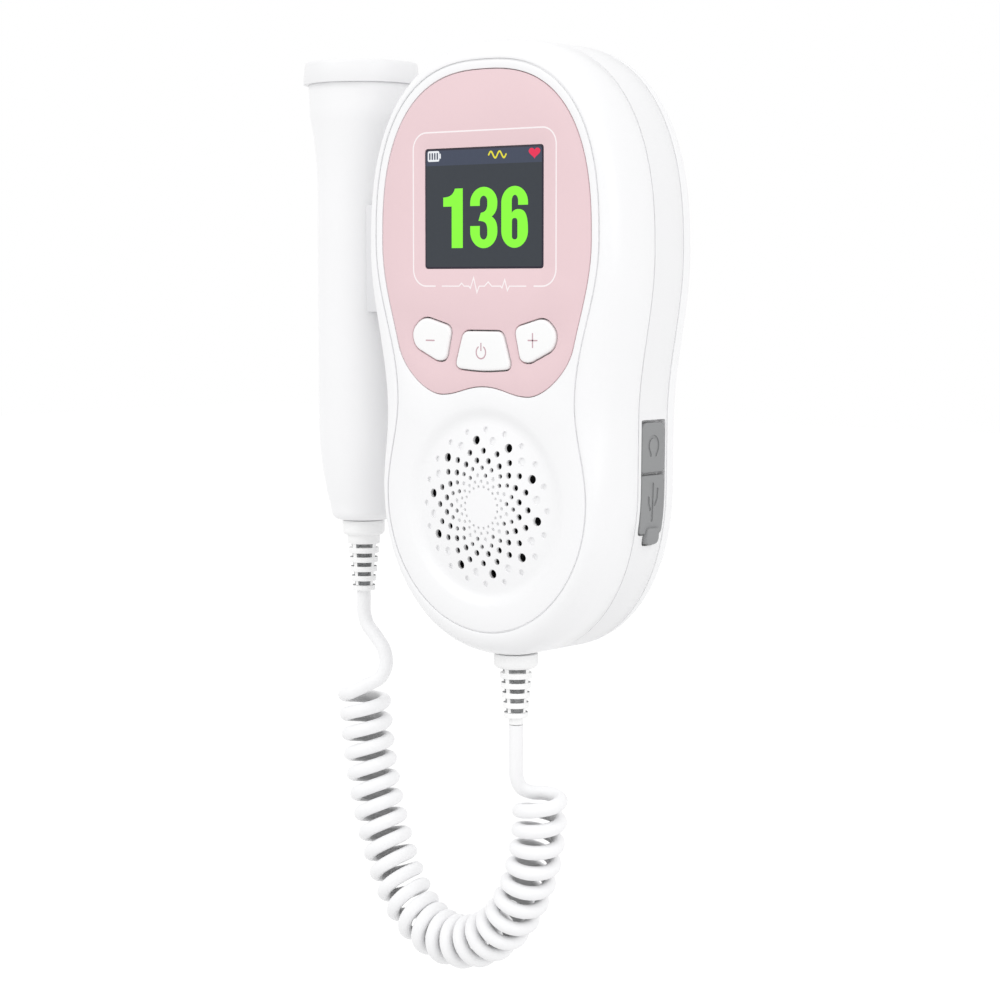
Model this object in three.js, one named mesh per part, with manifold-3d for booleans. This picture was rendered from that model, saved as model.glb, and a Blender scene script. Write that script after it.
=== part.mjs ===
import * as THREE from 'three';
import { mergeVertices } from 'three/addons/utils/BufferGeometryUtils.js';
import Module from 'manifold-3d';

// Fetal doppler monitor: a handset with a colour screen, three keys and a loudspeaker,
// and an ultrasound probe that is parked at its left side on a curly cord.
// Millimetres, +Z up, front towards -Y, origin at the centre of the flat back face.
// Inside the handset, y is the depth behind the front plane.

// Fits
const SEAT_GAP = 0.3;
const RUN_GAP = 0.4;
const OVERRUN = 1;

// Handset outline, seen from the front, with its heights as shares of half the body's height
const BODY_HEIGHT = 147.2;
const BODY_DEPTH = 35;
const UPPER_LOBE_SHARE = 0.308;
const WAIST_SHARE = -0.235;
const LOWER_LOBE_SHARE = -0.425;
const UPPER_LOBE_HALF = 38.5;
const WAIST_HALF = 34.1;
const LOWER_LOBE_HALF = 34;
const SHELL_CROWN_POWER = 2.4;
const CROWN_DROP = 1.1;
const SHELL_FOOT_POWER = 2.2;
const WALL = 2;

// Front panel outline, as the rim that the shell leaves round it
const RIM_TOP = 5.2;
const RIM_UPPER = 4.9;
const RIM_WAIST = 7.4;
const RIM_LOWER = 4;
const RIM_BOTTOM = 6.3;
const PANEL_UPPER_RISE = 2.6;
const PANEL_WAIST_RISE = 5;
const PANEL_LOWER_DROP = 4;
const PANEL_CROWN_POWER = 2.55;
const PANEL_FOOT_POWER = 2;
const PANEL_THICK = 2.6;
const PANEL_GROOVE = 0.35;

// Casing split, as depths behind the front plane
const FRONT_EDGE_DEPTH = 8;
const FRONT_SEAM_DEPTH = 15.5;
const REAR_SEAM_DEPTH = 27;
const BACK_EDGE_INSET = 7.5;
const SEAM_GAP = 0.3;
const LEDGE_WIDTH = 2.2;
const LEDGE_THICK = 1.5;

// Screen and its window
const SCREEN_WIDTH = 35.04;
const SCREEN_HEIGHT = 28.03;
const SCREEN_PLACE_SHARE = 0.451;
const WINDOW_BORDER = 0.5;
const WINDOW_THICK = 0.9;
const GLASS_BORDER = 1;
const GLASS_THICK = 1.6;
const DISPLAY_FRAME_BORDER = 2.4;
const DISPLAY_FRAME_THICK = 2.8;
const CONNECTOR_WIDTH = 17.5;
const CONNECTOR_HEIGHT = 8.8;

// Coloured faceplate, whose lower edge runs between the keys and the dish
const FACEPLATE_INSET = 1.85;
const FACEPLATE_THICK = 1;
const SHOULDER_RISE = 0.7;
const LOBE_X = 12.4;
const LOBE_SHARE = 0.446;
const NOTCH_SHARE = 0.383;
const SHOULDER_PULL = 6;
const LOBE_PULL = 5;
const NOTCH_PULL = 5.5;

// Keys, about a line that lies between the dish and the screen
const KEY_LINE_SHARE = 0.471;
const KEY_TRAVEL = 0.6;
const KEY_GAP = 0.35;
const KEY_PROUD = 0.5;
const KEY_FLANGE = 0.8;
const KEY_FLANGE_THICK = 0.8;
const KEY_STEM_RADIUS = 2;
const KEY_CORNER = 1.7;
const POWER_TOP_RISE = 4.1;
const POWER_FOOT_DROP = 5;
const POWER_BOW = 0.7;
const POWER_TOP_HALF = 5.9;
const POWER_BOTTOM_HALF = 8.6;
const SIDE_KEY_INNER_X = 9.5;
const SIDE_KEY_OUTER_X = 22;
const SIDE_KEY_TOP_RISE = 7.5;
const SIDE_KEY_FOOT_DROP = 3.2;
const SWITCH_SIZE = 6;
const SWITCH_THICK = 3;
const PLUNGER_RADIUS = 1.6;
const PLUNGER_LENGTH = 2.1;

// Circuit board and the posts that clamp it
const BOARD_FRONT_DEPTH = 9;
const BOARD_THICK = 1.6;
const BOARD_EDGE_INSET = 3.2;
const BOARD_BELOW_KEYS = 8.5;
const POST_RADIUS = 2.7;
const POST_CLEAR = 1.5;
const SPEAKER_POST_CLEAR = 1;
const TOWER_RADIUS = 3.9;
const TOWER_FLOOR = 3.6;
const WELL_RADIUS = 2.7;
const SCREW_RADIUS = 1.1;
const SCREW_HEAD_RADIUS = 2.2;
const SCREW_HEAD_THICK = 1.6;
const SCREW_LENGTH = 9;
const BOARD_SCREW_LENGTH = 5;
const BOARD_POST_BELOW_KEYS = 3.7;
const LOWER_POST_ANGLE = -28.7;
const PROCESSOR_CHIP_SIZE = 10;
const AUDIO_CHIP_SIZE = 5;
const CHIP_THICK = 1.2;

// Loudspeaker and the dished grille in front of it
const DISH_PLACE_SHARE = -0.51;
const DISH_RADIUS = 23.5;
const DISH_TROUGH_RADIUS = 21.2;
const DISH_TROUGH_DEPTH = 1.45;
const DOME_PROUD = 1.1;
const DISH_THICK = 1.8;
const BIG_HOLE_RADIUS = 0.95;
const MIDDLE_HOLE_RADIUS = 0.64;
const SMALL_HOLE_RADIUS = 0.43;
const BIG_RING = 16.2;
const OUTER_RING = 13.5;
const SECOND_RING = 11.3;
const THIRD_RING = 9.4;
const INNER_RING = 7.6;
const SPEAKER_RADIUS = 20;
const GASKET_WIDTH = 2.4;
const GASKET_THICK = 0.8;
const SPEAKER_FLANGE_THICK = 1.1;
const BASKET_DEPTH = 6;
const BASKET_WALL = 0.8;
const CONE_THICK = 0.5;
const DUST_CAP_RADIUS = 5;
const MAGNET_RADIUS = 10;
const MAGNET_THICK = 4.8;

// Rechargeable cell, stuck to the inside of the back
const CELL_WIDTH = 36;
const CELL_THICK = 8;
const CELL_HEIGHT = 46;
const CELL_CORNER = 1.5;
const GUARD_BOARD_WIDTH = 18;
const GUARD_BOARD_HEIGHT = 3.5;

// Sockets at the right side, and the rubber flaps over them
const FLAP_SPLIT_SHARE = -0.397;
const HEADPHONE_FLAP_LENGTH = 12.4;
const USB_FLAP_LENGTH = 13.7;
const FLAP_THICK = 1.8;
const FLAP_MARGIN = 1;
const TAB_LENGTH = 3.1;
const TAB_INSET = 1.3;
const PORT_BLOCK_THICK = 5;
const PORT_BLOCK_REACH = 2;
const STUB_LENGTH = 1.2;
const STUB_RADIUS = 1.3;
const USB_STUB_WIDTH = 4;
const JACK_HOLE_RADIUS = 1.8;
const JACK_WIDTH = 6;
const JACK_NOSE_RADIUS = 2.7;
const JACK_LENGTH = 11;
const USB_WIDTH = 8;
const USB_HEIGHT = 3;
const USB_WALL = 0.7;
const USB_LENGTH = 7;
const PORT_BOARD_THICK = 1.2;
const PORT_BOARD_WIDTH = 14;
const ANCHOR_THICK = 1;
const ANCHOR_HEIGHT = 3;
const ANCHOR_WIDTH = 5;

// Probe, its parking place and its inner parts
const PROBE_RADIUS = 11.2;
const PROBE_DEPTH = 15.8;
const PROBE_NECK_RADIUS = 13.9;
const PROBE_TOP_Z = 64.9;
const PROBE_SHOULDER_Z = 57.3;
const PROBE_SHOULDER_RADIUS = 13.4;
const PROBE_GRIP_TOP_Z = 39.5;
const PROBE_GRIP_BOTTOM_Z = -19.5;
const PROBE_TAIL_Z = -41.6;
const PROBE_TAIL_RADIUS = 8.3;
const PROBE_END_Z = -44.5;
const PROBE_END_RADIUS = 6.4;
const PROBE_WALL = 1.8;
const HEAD_RADIUS = 14.9;
const HEAD_TOP_RADIUS = 14.4;
const HEAD_HEIGHT = 5.4;
const HEAD_LIP = 1.7;
const HEAD_FLOOR = 1;
const HEAD_SPIGOT = 3;
const LENS_THICK = 1.5;
const CRYSTAL_THICK = 1.1;
const CRYSTAL_SPLIT = 1;
const CRYSTAL_EDGE = 1.2;
const PROBE_BOARD_LENGTH = 52;
const PROBE_BOARD_THICK = 1.2;
const CRADLE_PAD = 2.7;
const CRADLE_TOP_Z = 34.7;
const CRADLE_BOTTOM_Z = 8.3;
const CRADLE_ARM = 1.7;
const CRADLE_ANGLE = 40;
const CRADLE_FOOT_HALF = 9;

// Cord and its strain reliefs
const CORD_DIAMETER = 3.5;
const CURL_RADIUS = 5;
const CURLS = 25;
const CURL_STEPS = 8;
const CORD_SIDES = 5;
const UNIT_CORD_DEPTH = 12.5;
const COLLAR_RADIUS = 5.4;
const COLLAR_LENGTH = 4.3;
const COLLAR_EDGE = 0.6;
const BUSHING_LENGTH = 13;
const RIB_COUNT = 5;
const RIB_TOP_RADIUS = 3.9;
const RIB_TIP_RADIUS = 2.8;
const RIB_GROOVE_DEPTH = 0.9;
const BUSHING_NECK_RADIUS = 2.6;
const BUSHING_FLANGE_RADIUS = 4.4;
const BUSHING_FLANGE_THICK = 1.4;

const DEGREE = Math.PI / 180;
const HALF_TURN = Math.PI;
const FULL_TURN = 2 * Math.PI;
const WELD_REACH = 0.0001;

const wasm = await Module();
wasm.setup();

// Outlines: the right half runs from the crown over the flank to the bottom.
const CROWN_STEPS = 8;
const FLANK_STEPS = 4;
const BOTTOM_STEPS = 7;
const HALF_HEIGHT = BODY_HEIGHT / 2;
const upperLobeZ = HALF_HEIGHT * UPPER_LOBE_SHARE;
const waistZ = HALF_HEIGHT * WAIST_SHARE;
const lowerLobeZ = HALF_HEIGHT * LOWER_LOBE_SHARE;

const shell = {
  top: HALF_HEIGHT - CROWN_DROP,
  upper: upperLobeZ,
  waist: waistZ,
  lower: lowerLobeZ,
  bottom: -HALF_HEIGHT,
  upperHalf: UPPER_LOBE_HALF,
  waistHalf: WAIST_HALF,
  lowerHalf: LOWER_LOBE_HALF,
  power: SHELL_CROWN_POWER,
  footPower: SHELL_FOOT_POWER,
};
const panel = {
  top: shell.top - RIM_TOP,
  upper: upperLobeZ + PANEL_UPPER_RISE,
  waist: waistZ + PANEL_WAIST_RISE,
  lower: lowerLobeZ - PANEL_LOWER_DROP,
  bottom: shell.bottom + RIM_BOTTOM,
  upperHalf: UPPER_LOBE_HALF - RIM_UPPER,
  waistHalf: WAIST_HALF - RIM_WAIST,
  lowerHalf: LOWER_LOBE_HALF - RIM_LOWER,
  power: PANEL_CROWN_POWER,
  footPower: PANEL_FOOT_POWER,
};

// Places up the front: the screen and the dish, and the line of the keys between them
const screenZ = HALF_HEIGHT * SCREEN_PLACE_SHARE;
const displayHalf = SCREEN_HEIGHT / 2 + GLASS_BORDER + DISPLAY_FRAME_BORDER;
const displayTop = screenZ + displayHalf;
const dishZ = HALF_HEIGHT * DISH_PLACE_SHARE;
const dishTop = dishZ + DISH_RADIUS;
const keyLine = dishTop + (screenZ - displayHalf - dishTop) * KEY_LINE_SHARE;
const keysBottom = keyLine - Math.max(POWER_FOOT_DROP + POWER_BOW, SIDE_KEY_FOOT_DROP);

function grown(form, by) {
  return {
    ...form,
    top: form.top + by,
    bottom: form.bottom - by,
    upperHalf: form.upperHalf + by,
    waistHalf: form.waistHalf + by,
    lowerHalf: form.lowerHalf + by,
  };
}

function between(from, to, share) {
  const mixed = {};
  for (const key of Object.keys(from)) {
    mixed[key] = from[key] + (to[key] - from[key]) * share;
  }
  return mixed;
}

function eased(from, to, share) {
  return from + (to - from) * (1 - Math.cos(HALF_TURN * share)) / 2;
}

// Half the width of an outline at a height on its crown or its flank.
function halfWidthAt(form, z) {
  if (z > form.upper) {
    const rise = (z - form.upper) / (form.top - form.upper);
    return form.upperHalf * (1 - rise ** form.power) ** (1 / form.power);
  }
  if (z > form.waist) {
    return eased(form.upperHalf, form.waistHalf, (form.upper - z) / (form.upper - form.waist));
  }
  if (z > form.lower) {
    return eased(form.waistHalf, form.lowerHalf, (form.waist - z) / (form.waist - form.lower));
  }
  const drop = (form.lower - z) / (form.lower - form.bottom);
  return form.lowerHalf * (1 - drop ** form.footPower) ** (1 / form.footPower);
}

// Height of the lower edge of an outline at a distance from its middle line.
function floorAt(form, x) {
  const across = Math.abs(x) / form.lowerHalf;
  const drop = (1 - across ** form.footPower) ** (1 / form.footPower);
  return form.lower - (form.lower - form.bottom) * drop;
}

// The closed outline as [x, z] pairs; every form gives the same number of points.
function outline(form) {
  const right = [];
  for (let i = 0; i < CROWN_STEPS; i += 1) {
    const angle = HALF_TURN / 2 * i / CROWN_STEPS;
    const x = form.upperHalf * Math.sin(angle) ** (2 / form.power);
    const z = form.upper + (form.top - form.upper) * Math.cos(angle) ** (2 / form.power);
    right.push([x, z]);
  }
  for (const [from, to] of [[form.upper, form.waist], [form.waist, form.lower]]) {
    for (let i = 0; i < FLANK_STEPS; i += 1) {
      const z = from + (to - from) * i / FLANK_STEPS;
      right.push([halfWidthAt(form, z), z]);
    }
  }
  for (let i = 0; i <= BOTTOM_STEPS; i += 1) {
    const angle = HALF_TURN / 2 * i / BOTTOM_STEPS;
    const across = i === BOTTOM_STEPS ? 0 : Math.cos(angle) ** (2 / form.footPower);
    const drop = Math.sin(angle) ** (2 / form.footPower);
    right.push([form.lowerHalf * across, form.lower - (form.lower - form.bottom) * drop]);
  }
  const left = right.slice(1, -1).reverse().map(([x, z]) => [-x, z]);
  return [...right, ...left];
}

// Solids
function positionsOnly(geometry) {
  const bare = geometry.clone();
  bare.deleteAttribute('normal');
  bare.deleteAttribute('uv');
  return mergeVertices(bare, WELD_REACH);
}

function triangleList(geometry) {
  const index = geometry.index.array;
  const kept = [];
  for (let i = 0; i < index.length; i += 3) {
    const [a, b, c] = [index[i], index[i + 1], index[i + 2]];
    if (a !== b && b !== c && c !== a) kept.push(a, b, c);
  }
  return kept;
}

function signedVolume(points, triangles) {
  const [a, b, c] = [new THREE.Vector3(), new THREE.Vector3(), new THREE.Vector3()];
  let volume = 0;
  for (let i = 0; i < triangles.length; i += 3) {
    a.fromArray(points, 3 * triangles[i]);
    b.fromArray(points, 3 * triangles[i + 1]);
    c.fromArray(points, 3 * triangles[i + 2]);
    volume += a.dot(b.cross(c)) / 6;
  }
  return volume;
}

function solidOf(geometry) {
  const merged = positionsOnly(geometry);
  const triangles = triangleList(merged);
  const points = merged.attributes.position.array;
  if (signedVolume(points, triangles) < 0) triangles.reverse();
  const mesh = new wasm.Mesh({
    numProp: 3,
    vertProperties: new Float32Array(points),
    triVerts: new Uint32Array(triangles),
  });
  return new wasm.Manifold(mesh);
}

function geometryOf(solid) {
  const mesh = solid.getMesh();
  const geometry = new THREE.BufferGeometry();
  geometry.setAttribute('position', new THREE.BufferAttribute(mesh.vertProperties, 3));
  geometry.setIndex(new THREE.BufferAttribute(mesh.triVerts, 1));
  return geometry;
}

// A flat shape in x and z, pushed along y from one depth to another.
function prism(shape, from, to, curveSegments = 4) {
  const geometry = new THREE.ExtrudeGeometry(shape, {
    depth: to - from,
    bevelEnabled: false,
    curveSegments,
  });
  geometry.rotateX(HALF_TURN / 2);
  geometry.translate(0, to, 0);
  return solidOf(geometry);
}

// A flat shape in x and y, pushed up from one height to another.
function column(shape, from, to, curveSegments = 4) {
  const geometry = new THREE.ExtrudeGeometry(shape, {
    depth: to - from,
    bevelEnabled: false,
    curveSegments,
  });
  geometry.translate(0, 0, from);
  return solidOf(geometry);
}

function shapeOf(pairs) {
  return new THREE.Shape(pairs.map(([x, y]) => new THREE.Vector2(x, y)));
}

function rectangle(left, right, bottom, top) {
  return shapeOf([[left, bottom], [right, bottom], [right, top], [left, top]]);
}

function block(xs, ys, zs) {
  return prism(rectangle(xs[0], xs[1], zs[0], zs[1]), ys[0], ys[1]);
}

// A polygon whose corners are rounded by curves that start a set way before each corner.
function roundedPolygon(corners, radius) {
  const shape = new THREE.Shape();
  const count = corners.length;
  for (let i = 0; i < count; i += 1) {
    const here = new THREE.Vector2(...corners[i]);
    const before = new THREE.Vector2(...corners[(i + count - 1) % count]);
    const after = new THREE.Vector2(...corners[(i + 1) % count]);
    const way = Math.min(radius, here.distanceTo(before) / 2, here.distanceTo(after) / 2);
    const start = before.clone().sub(here).setLength(way).add(here);
    const end = after.clone().sub(here).setLength(way).add(here);
    if (i === 0) shape.moveTo(start.x, start.y);
    else shape.lineTo(start.x, start.y);
    shape.quadraticCurveTo(here.x, here.y, end.x, end.y);
  }
  shape.closePath();
  return shape;
}

// A polygon whose edges are moved outwards by a distance; its corners run anticlockwise.
function widened(corners, by) {
  const count = corners.length;
  return corners.map((corner, i) => {
    const here = new THREE.Vector2(...corner);
    const before = new THREE.Vector2(...corners[(i + count - 1) % count]);
    const after = new THREE.Vector2(...corners[(i + 1) % count]);
    const inward = here.clone().sub(before).normalize();
    const onward = after.clone().sub(here).normalize();
    const firstNormal = new THREE.Vector2(inward.y, -inward.x);
    const secondNormal = new THREE.Vector2(onward.y, -onward.x);
    const way = firstNormal.clone().add(secondNormal);
    way.multiplyScalar(by / (1 + firstNormal.dot(secondNormal)));
    return [here.x + way.x, here.y + way.y];
  });
}

// A turned piece whose profile is given as [radius, place along the axis].
function turned(profile, segments, along = 'z') {
  const points = profile.map(([r, t]) => new THREE.Vector2(r, t));
  if (profile[0][0] > 0) points.push(points[0].clone());
  const geometry = new THREE.LatheGeometry(points, segments);
  if (along === 'z') geometry.rotateX(HALF_TURN / 2);
  return solidOf(geometry);
}

function disc(radius, from, to, segments = 24, along = 'z') {
  return turned([[0, from], [radius, from], [radius, to], [0, to]], segments, along);
}

function rod(radius, from, to, x, z, segments = 12) {
  return disc(radius, from, to, segments, 'y').translate([x, 0, z]);
}

// A skin through rings of points. Open rows get flat ends; closed rows join last to first.
function skin(rows, closed) {
  const count = rows[0].length;
  const positions = rows.flat(2);
  const index = [];
  const spans = closed ? rows.length : rows.length - 1;
  for (let r = 0; r < spans; r += 1) {
    const next = (r + 1) % rows.length;
    for (let i = 0; i < count; i += 1) {
      const j = (i + 1) % count;
      const [a, b, c, d] = [r * count + i, r * count + j, next * count + j, next * count + i];
      index.push(a, b, c, a, c, d);
    }
  }
  if (!closed) {
    const flat = (row) => row.map(([x, , z]) => new THREE.Vector2(x, z));
    const first = THREE.ShapeUtils.triangulateShape(flat(rows[0]), []);
    const last = THREE.ShapeUtils.triangulateShape(flat(rows.at(-1)), []);
    const base = (rows.length - 1) * count;
    const wound = THREE.ShapeUtils.isClockWise(flat(rows[0]));
    for (const [a, b, c] of first) {
      if (wound) index.push(a, b, c);
      else index.push(c, b, a);
    }
    for (const [a, b, c] of last) {
      if (wound) index.push(base + c, base + b, base + a);
      else index.push(base + a, base + b, base + c);
    }
  }
  const geometry = new THREE.BufferGeometry();
  geometry.setAttribute('position', new THREE.Float32BufferAttribute(positions, 3));
  geometry.setIndex(index);
  return solidOf(geometry);
}

function ring(form, depth) {
  return outline(form).map(([x, z]) => [x, depth, z]);
}

function slab(form, from, to) {
  return prism(shapeOf(outline(form)), from, to);
}

// Casing
const EDGE_STEPS = 5;
const shellOpening = grown(panel, PANEL_GROOVE);
const ledgeOpening = grown(panel, -LEDGE_WIDTH);
const inside = grown(shell, -WALL);
const ledgeDepth = PANEL_THICK + SEAT_GAP;

function frontShell() {
  const rows = [];
  for (let i = 0; i <= EDGE_STEPS; i += 1) {
    const angle = HALF_TURN / 2 * i / EDGE_STEPS;
    const form = between(shellOpening, shell, Math.sin(angle));
    rows.push(ring(form, FRONT_EDGE_DEPTH * (1 - Math.cos(angle))));
  }
  rows.push(ring(shell, FRONT_SEAM_DEPTH - SEAM_GAP / 2));
  rows.push(ring(inside, FRONT_SEAM_DEPTH - SEAM_GAP / 2));
  rows.push(ring(inside, FRONT_EDGE_DEPTH));
  rows.push(ring(between(ledgeOpening, inside, 1 / 2), ledgeDepth + LEDGE_THICK));
  rows.push(ring(ledgeOpening, ledgeDepth + LEDGE_THICK));
  rows.push(ring(ledgeOpening, ledgeDepth));
  rows.push(ring(shellOpening, ledgeDepth));
  let solid = skin(rows, true).subtract(cordHole());
  for (const [x, z] of [...topPosts, ...boardPosts, ...lowerPosts]) {
    solid = solid.subtract(rod(POST_RADIUS + SEAT_GAP, ledgeDepth - SEAT_GAP, FRONT_SEAM_DEPTH, x, z));
  }
  return solid;
}

function cordHole() {
  const hole = disc(BUSHING_NECK_RADIUS + SEAT_GAP, shell.bottom - OVERRUN, inside.bottom + OVERRUN);
  return hole.translate([0, UNIT_CORD_DEPTH, 0]);
}

const midStart = FRONT_SEAM_DEPTH + SEAM_GAP / 2;
const midEnd = REAR_SEAM_DEPTH - SEAM_GAP / 2;
const flapStart = FRONT_SEAM_DEPTH + FLAP_MARGIN;
const flapEnd = REAR_SEAM_DEPTH - FLAP_MARGIN;
const flapMiddle = (flapStart + flapEnd) / 2;
const flapSplit = HALF_HEIGHT * FLAP_SPLIT_SHARE;
const flapTop = flapSplit + HEADPHONE_FLAP_LENGTH;
const flapBottom = flapSplit - USB_FLAP_LENGTH;
const portFloor = halfWidthAt(shell, flapSplit) - PORT_BLOCK_THICK;
const jackZ = (flapTop + flapSplit) / 2;
const usbZ = (flapSplit + flapBottom) / 2;
const FLAP_STEPS = 4;
const ROUND_STEPS = 4;

// A strip of the side of the shell, as a shape in x and z with a round upper end.
function sideStrip(top, bottom, thick, margin) {
  const middle = (z) => halfWidthAt(shell, z) - thick / 2;
  const radius = thick / 2 + margin;
  const heights = [];
  for (let i = 1; i <= FLAP_STEPS; i += 1) {
    heights.push(top - radius + margin + (bottom - margin - top + radius - margin) * i / FLAP_STEPS);
  }
  const centre = top - thick / 2;
  const outer = heights.map((z) => [middle(z) + radius, z]).reverse();
  const inner = heights.map((z) => [middle(z) - radius, z]);
  const round = [];
  for (let i = 0; i <= ROUND_STEPS; i += 1) {
    const angle = HALF_TURN * i / ROUND_STEPS;
    round.push([middle(centre) + radius * Math.cos(angle), centre + radius * Math.sin(angle)]);
  }
  return shapeOf([...outer, ...round, ...inner]);
}

function midFrame() {
  const rows = [
    ring(shell, midStart),
    ring(shell, midEnd),
    ring(inside, midEnd),
    ring(inside, midStart),
  ];
  const zs = [flapBottom - TAB_LENGTH - PORT_BLOCK_REACH, flapTop + PORT_BLOCK_REACH];
  const pad = block([portFloor, halfWidthAt(shell, zs[1])], [midStart, midEnd], zs);
  const outside = slab(shell, midStart, midEnd);
  const strip = sideStrip(flapTop, flapBottom, FLAP_THICK, SEAT_GAP);
  const recess = prism(strip, flapStart - SEAT_GAP, flapEnd + SEAT_GAP);
  const hingeZ = flapTop - FLAP_THICK / 2;
  const swingRoom = block(
    [halfWidthAt(shell, hingeZ) - FLAP_THICK / 2, UPPER_LOBE_HALF],
    [flapStart - SEAT_GAP, flapEnd + SEAT_GAP],
    [hingeZ, flapTop + SEAT_GAP],
  );
  const tabStrip = sideStrip(usbZ, flapBottom - TAB_LENGTH, FLAP_THICK, SEAT_GAP);
  const tabRecess = prism(tabStrip, flapStart + TAB_INSET - SEAT_GAP, flapEnd - TAB_INSET + SEAT_GAP);
  const jackHole = disc(JACK_NOSE_RADIUS + SEAT_GAP, portFloor - OVERRUN, UPPER_LOBE_HALF, 16)
    .rotate([0, 90, 0]).translate([0, flapMiddle, jackZ]);
  const halfSlot = USB_WIDTH / 2 + SEAT_GAP;
  const halfRise = USB_HEIGHT / 2 + SEAT_GAP;
  const usbHole = block(
    [portFloor - OVERRUN, UPPER_LOBE_HALF],
    [flapMiddle - halfRise, flapMiddle + halfRise],
    [usbZ - halfSlot, usbZ + halfSlot],
  );
  return skin(rows, true)
    .add(pad.intersect(outside))
    .subtract(recess)
    .subtract(swingRoom)
    .subtract(tabRecess)
    .subtract(jackHole)
    .subtract(usbHole)
    .subtract(anchorPocket());
}

// Posts: two at the top clamp the board, two at its foot carry it, two more stand below.
const topPostZ = displayTop + POST_RADIUS + POST_CLEAR;
const boardPostZ = keysBottom - BOARD_POST_BELOW_KEYS;
const lowerPostWay = SPEAKER_RADIUS + POST_RADIUS + SPEAKER_POST_CLEAR;
const postX = (z) => {
  const room = [z - POST_RADIUS, z + POST_RADIUS].map((edge) => halfWidthAt(ledgeOpening, edge));
  return Math.min(...room) - SEAT_GAP - POST_RADIUS;
};
const topPosts = [-1, 1].map((side) => [side * postX(topPostZ), topPostZ]);
const boardPosts = [-1, 1].map((side) => [side * postX(boardPostZ), boardPostZ]);
const lowerPosts = [-1, 1].map((side) => [
  side * lowerPostWay * Math.cos(LOWER_POST_ANGLE * DEGREE),
  dishZ + lowerPostWay * Math.sin(LOWER_POST_ANGLE * DEGREE),
]);
const boardBack = BOARD_FRONT_DEPTH + BOARD_THICK;
const towerEnd = boardBack + SEAT_GAP;
const wellFloor = towerEnd + TOWER_FLOOR;
const screwHeadFront = wellFloor + SEAT_GAP;
const screwTip = screwHeadFront - SCREW_LENGTH;
const pilotRadius = SCREW_RADIUS + SEAT_GAP;

function rearShell() {
  const innerBack = BODY_DEPTH - WALL;
  const start = REAR_SEAM_DEPTH + SEAM_GAP / 2;
  const back = grown(shell, -BACK_EDGE_INSET);
  const innerFlat = grown(back, -WALL / 2);
  const rows = [ring(innerFlat, innerBack)];
  for (let i = 1; i <= EDGE_STEPS; i += 1) {
    const angle = HALF_TURN / 2 * i / EDGE_STEPS;
    const form = between(innerFlat, inside, Math.sin(angle));
    rows.push(ring(form, start + (innerBack - start) * Math.cos(angle)));
  }
  for (let i = EDGE_STEPS; i >= 0; i -= 1) {
    const angle = HALF_TURN / 2 * i / EDGE_STEPS;
    const form = between(back, shell, Math.sin(angle));
    rows.push(ring(form, start + (BODY_DEPTH - start) * Math.cos(angle)));
  }
  let solid = skin(rows, false);
  for (const [x, z] of [...topPosts, ...lowerPosts]) {
    solid = solid.add(rod(TOWER_RADIUS, towerEnd, BODY_DEPTH - WALL / 2, x, z, 16));
  }
  for (const [x, z] of [...topPosts, ...lowerPosts]) {
    solid = solid.subtract(rod(WELL_RADIUS, wellFloor, BODY_DEPTH + OVERRUN, x, z, 16));
    solid = solid.subtract(rod(pilotRadius, towerEnd - OVERRUN, wellFloor + OVERRUN, x, z));
  }
  return solid;
}

function screw(x, z, headFront, length) {
  const profile = [
    [0, headFront - length],
    [SCREW_RADIUS, headFront - length],
    [SCREW_RADIUS, headFront],
    [SCREW_HEAD_RADIUS, headFront],
    [SCREW_HEAD_RADIUS, headFront + SCREW_HEAD_THICK],
    [0, headFront + SCREW_HEAD_THICK],
  ];
  return turned(profile, 12, 'y').translate([x, 0, z]);
}

// Keys
const powerTop = keyLine + POWER_TOP_RISE;
const powerFoot = keyLine - POWER_FOOT_DROP;
const powerMiddle = (powerTop + powerFoot) / 2;
const powerCorners = [
  [-POWER_BOTTOM_HALF, powerFoot],
  [0, powerFoot - POWER_BOW],
  [POWER_BOTTOM_HALF, powerFoot],
  [POWER_TOP_HALF, powerTop],
  [-POWER_TOP_HALF, powerTop],
];
const sideKeyWide = SIDE_KEY_OUTER_X - SIDE_KEY_INNER_X;
const sideKeyTop = keyLine + SIDE_KEY_TOP_RISE;
const sideKeyFoot = keyLine - SIDE_KEY_FOOT_DROP;
const sideKeyTall = sideKeyTop - sideKeyFoot;
const sideKeyShares = [
  [0.14, 0.05],
  [0.34, 0],
  [0.93, 0.32],
  [1, 0.68],
  [0.72, 1],
  [0, 0.77],
];
const plusCorners = sideKeyShares.map(([across, up]) => [
  SIDE_KEY_INNER_X + across * sideKeyWide,
  sideKeyFoot + up * sideKeyTall,
]);
const minusCorners = plusCorners.map(([x, z]) => [-x, z]).reverse();
const sideKeyMiddle = [
  (SIDE_KEY_INNER_X + SIDE_KEY_OUTER_X) / 2,
  (sideKeyTop + sideKeyFoot) / 2,
];
const keys = [
  { name: 'minus', corners: minusCorners, middle: [-sideKeyMiddle[0], sideKeyMiddle[1]] },
  { name: 'power', corners: powerCorners, middle: [0, powerMiddle] },
  { name: 'plus', corners: plusCorners, middle: sideKeyMiddle },
];
const flangeFront = PANEL_THICK + SEAT_GAP;
const flangeBack = flangeFront + KEY_FLANGE_THICK;
const switchFront = BOARD_FRONT_DEPTH - SEAT_GAP - SWITCH_THICK;
const plungerFront = switchFront - KEY_TRAVEL - SEAT_GAP;
const stemEnd = plungerFront - SEAT_GAP;

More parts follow.
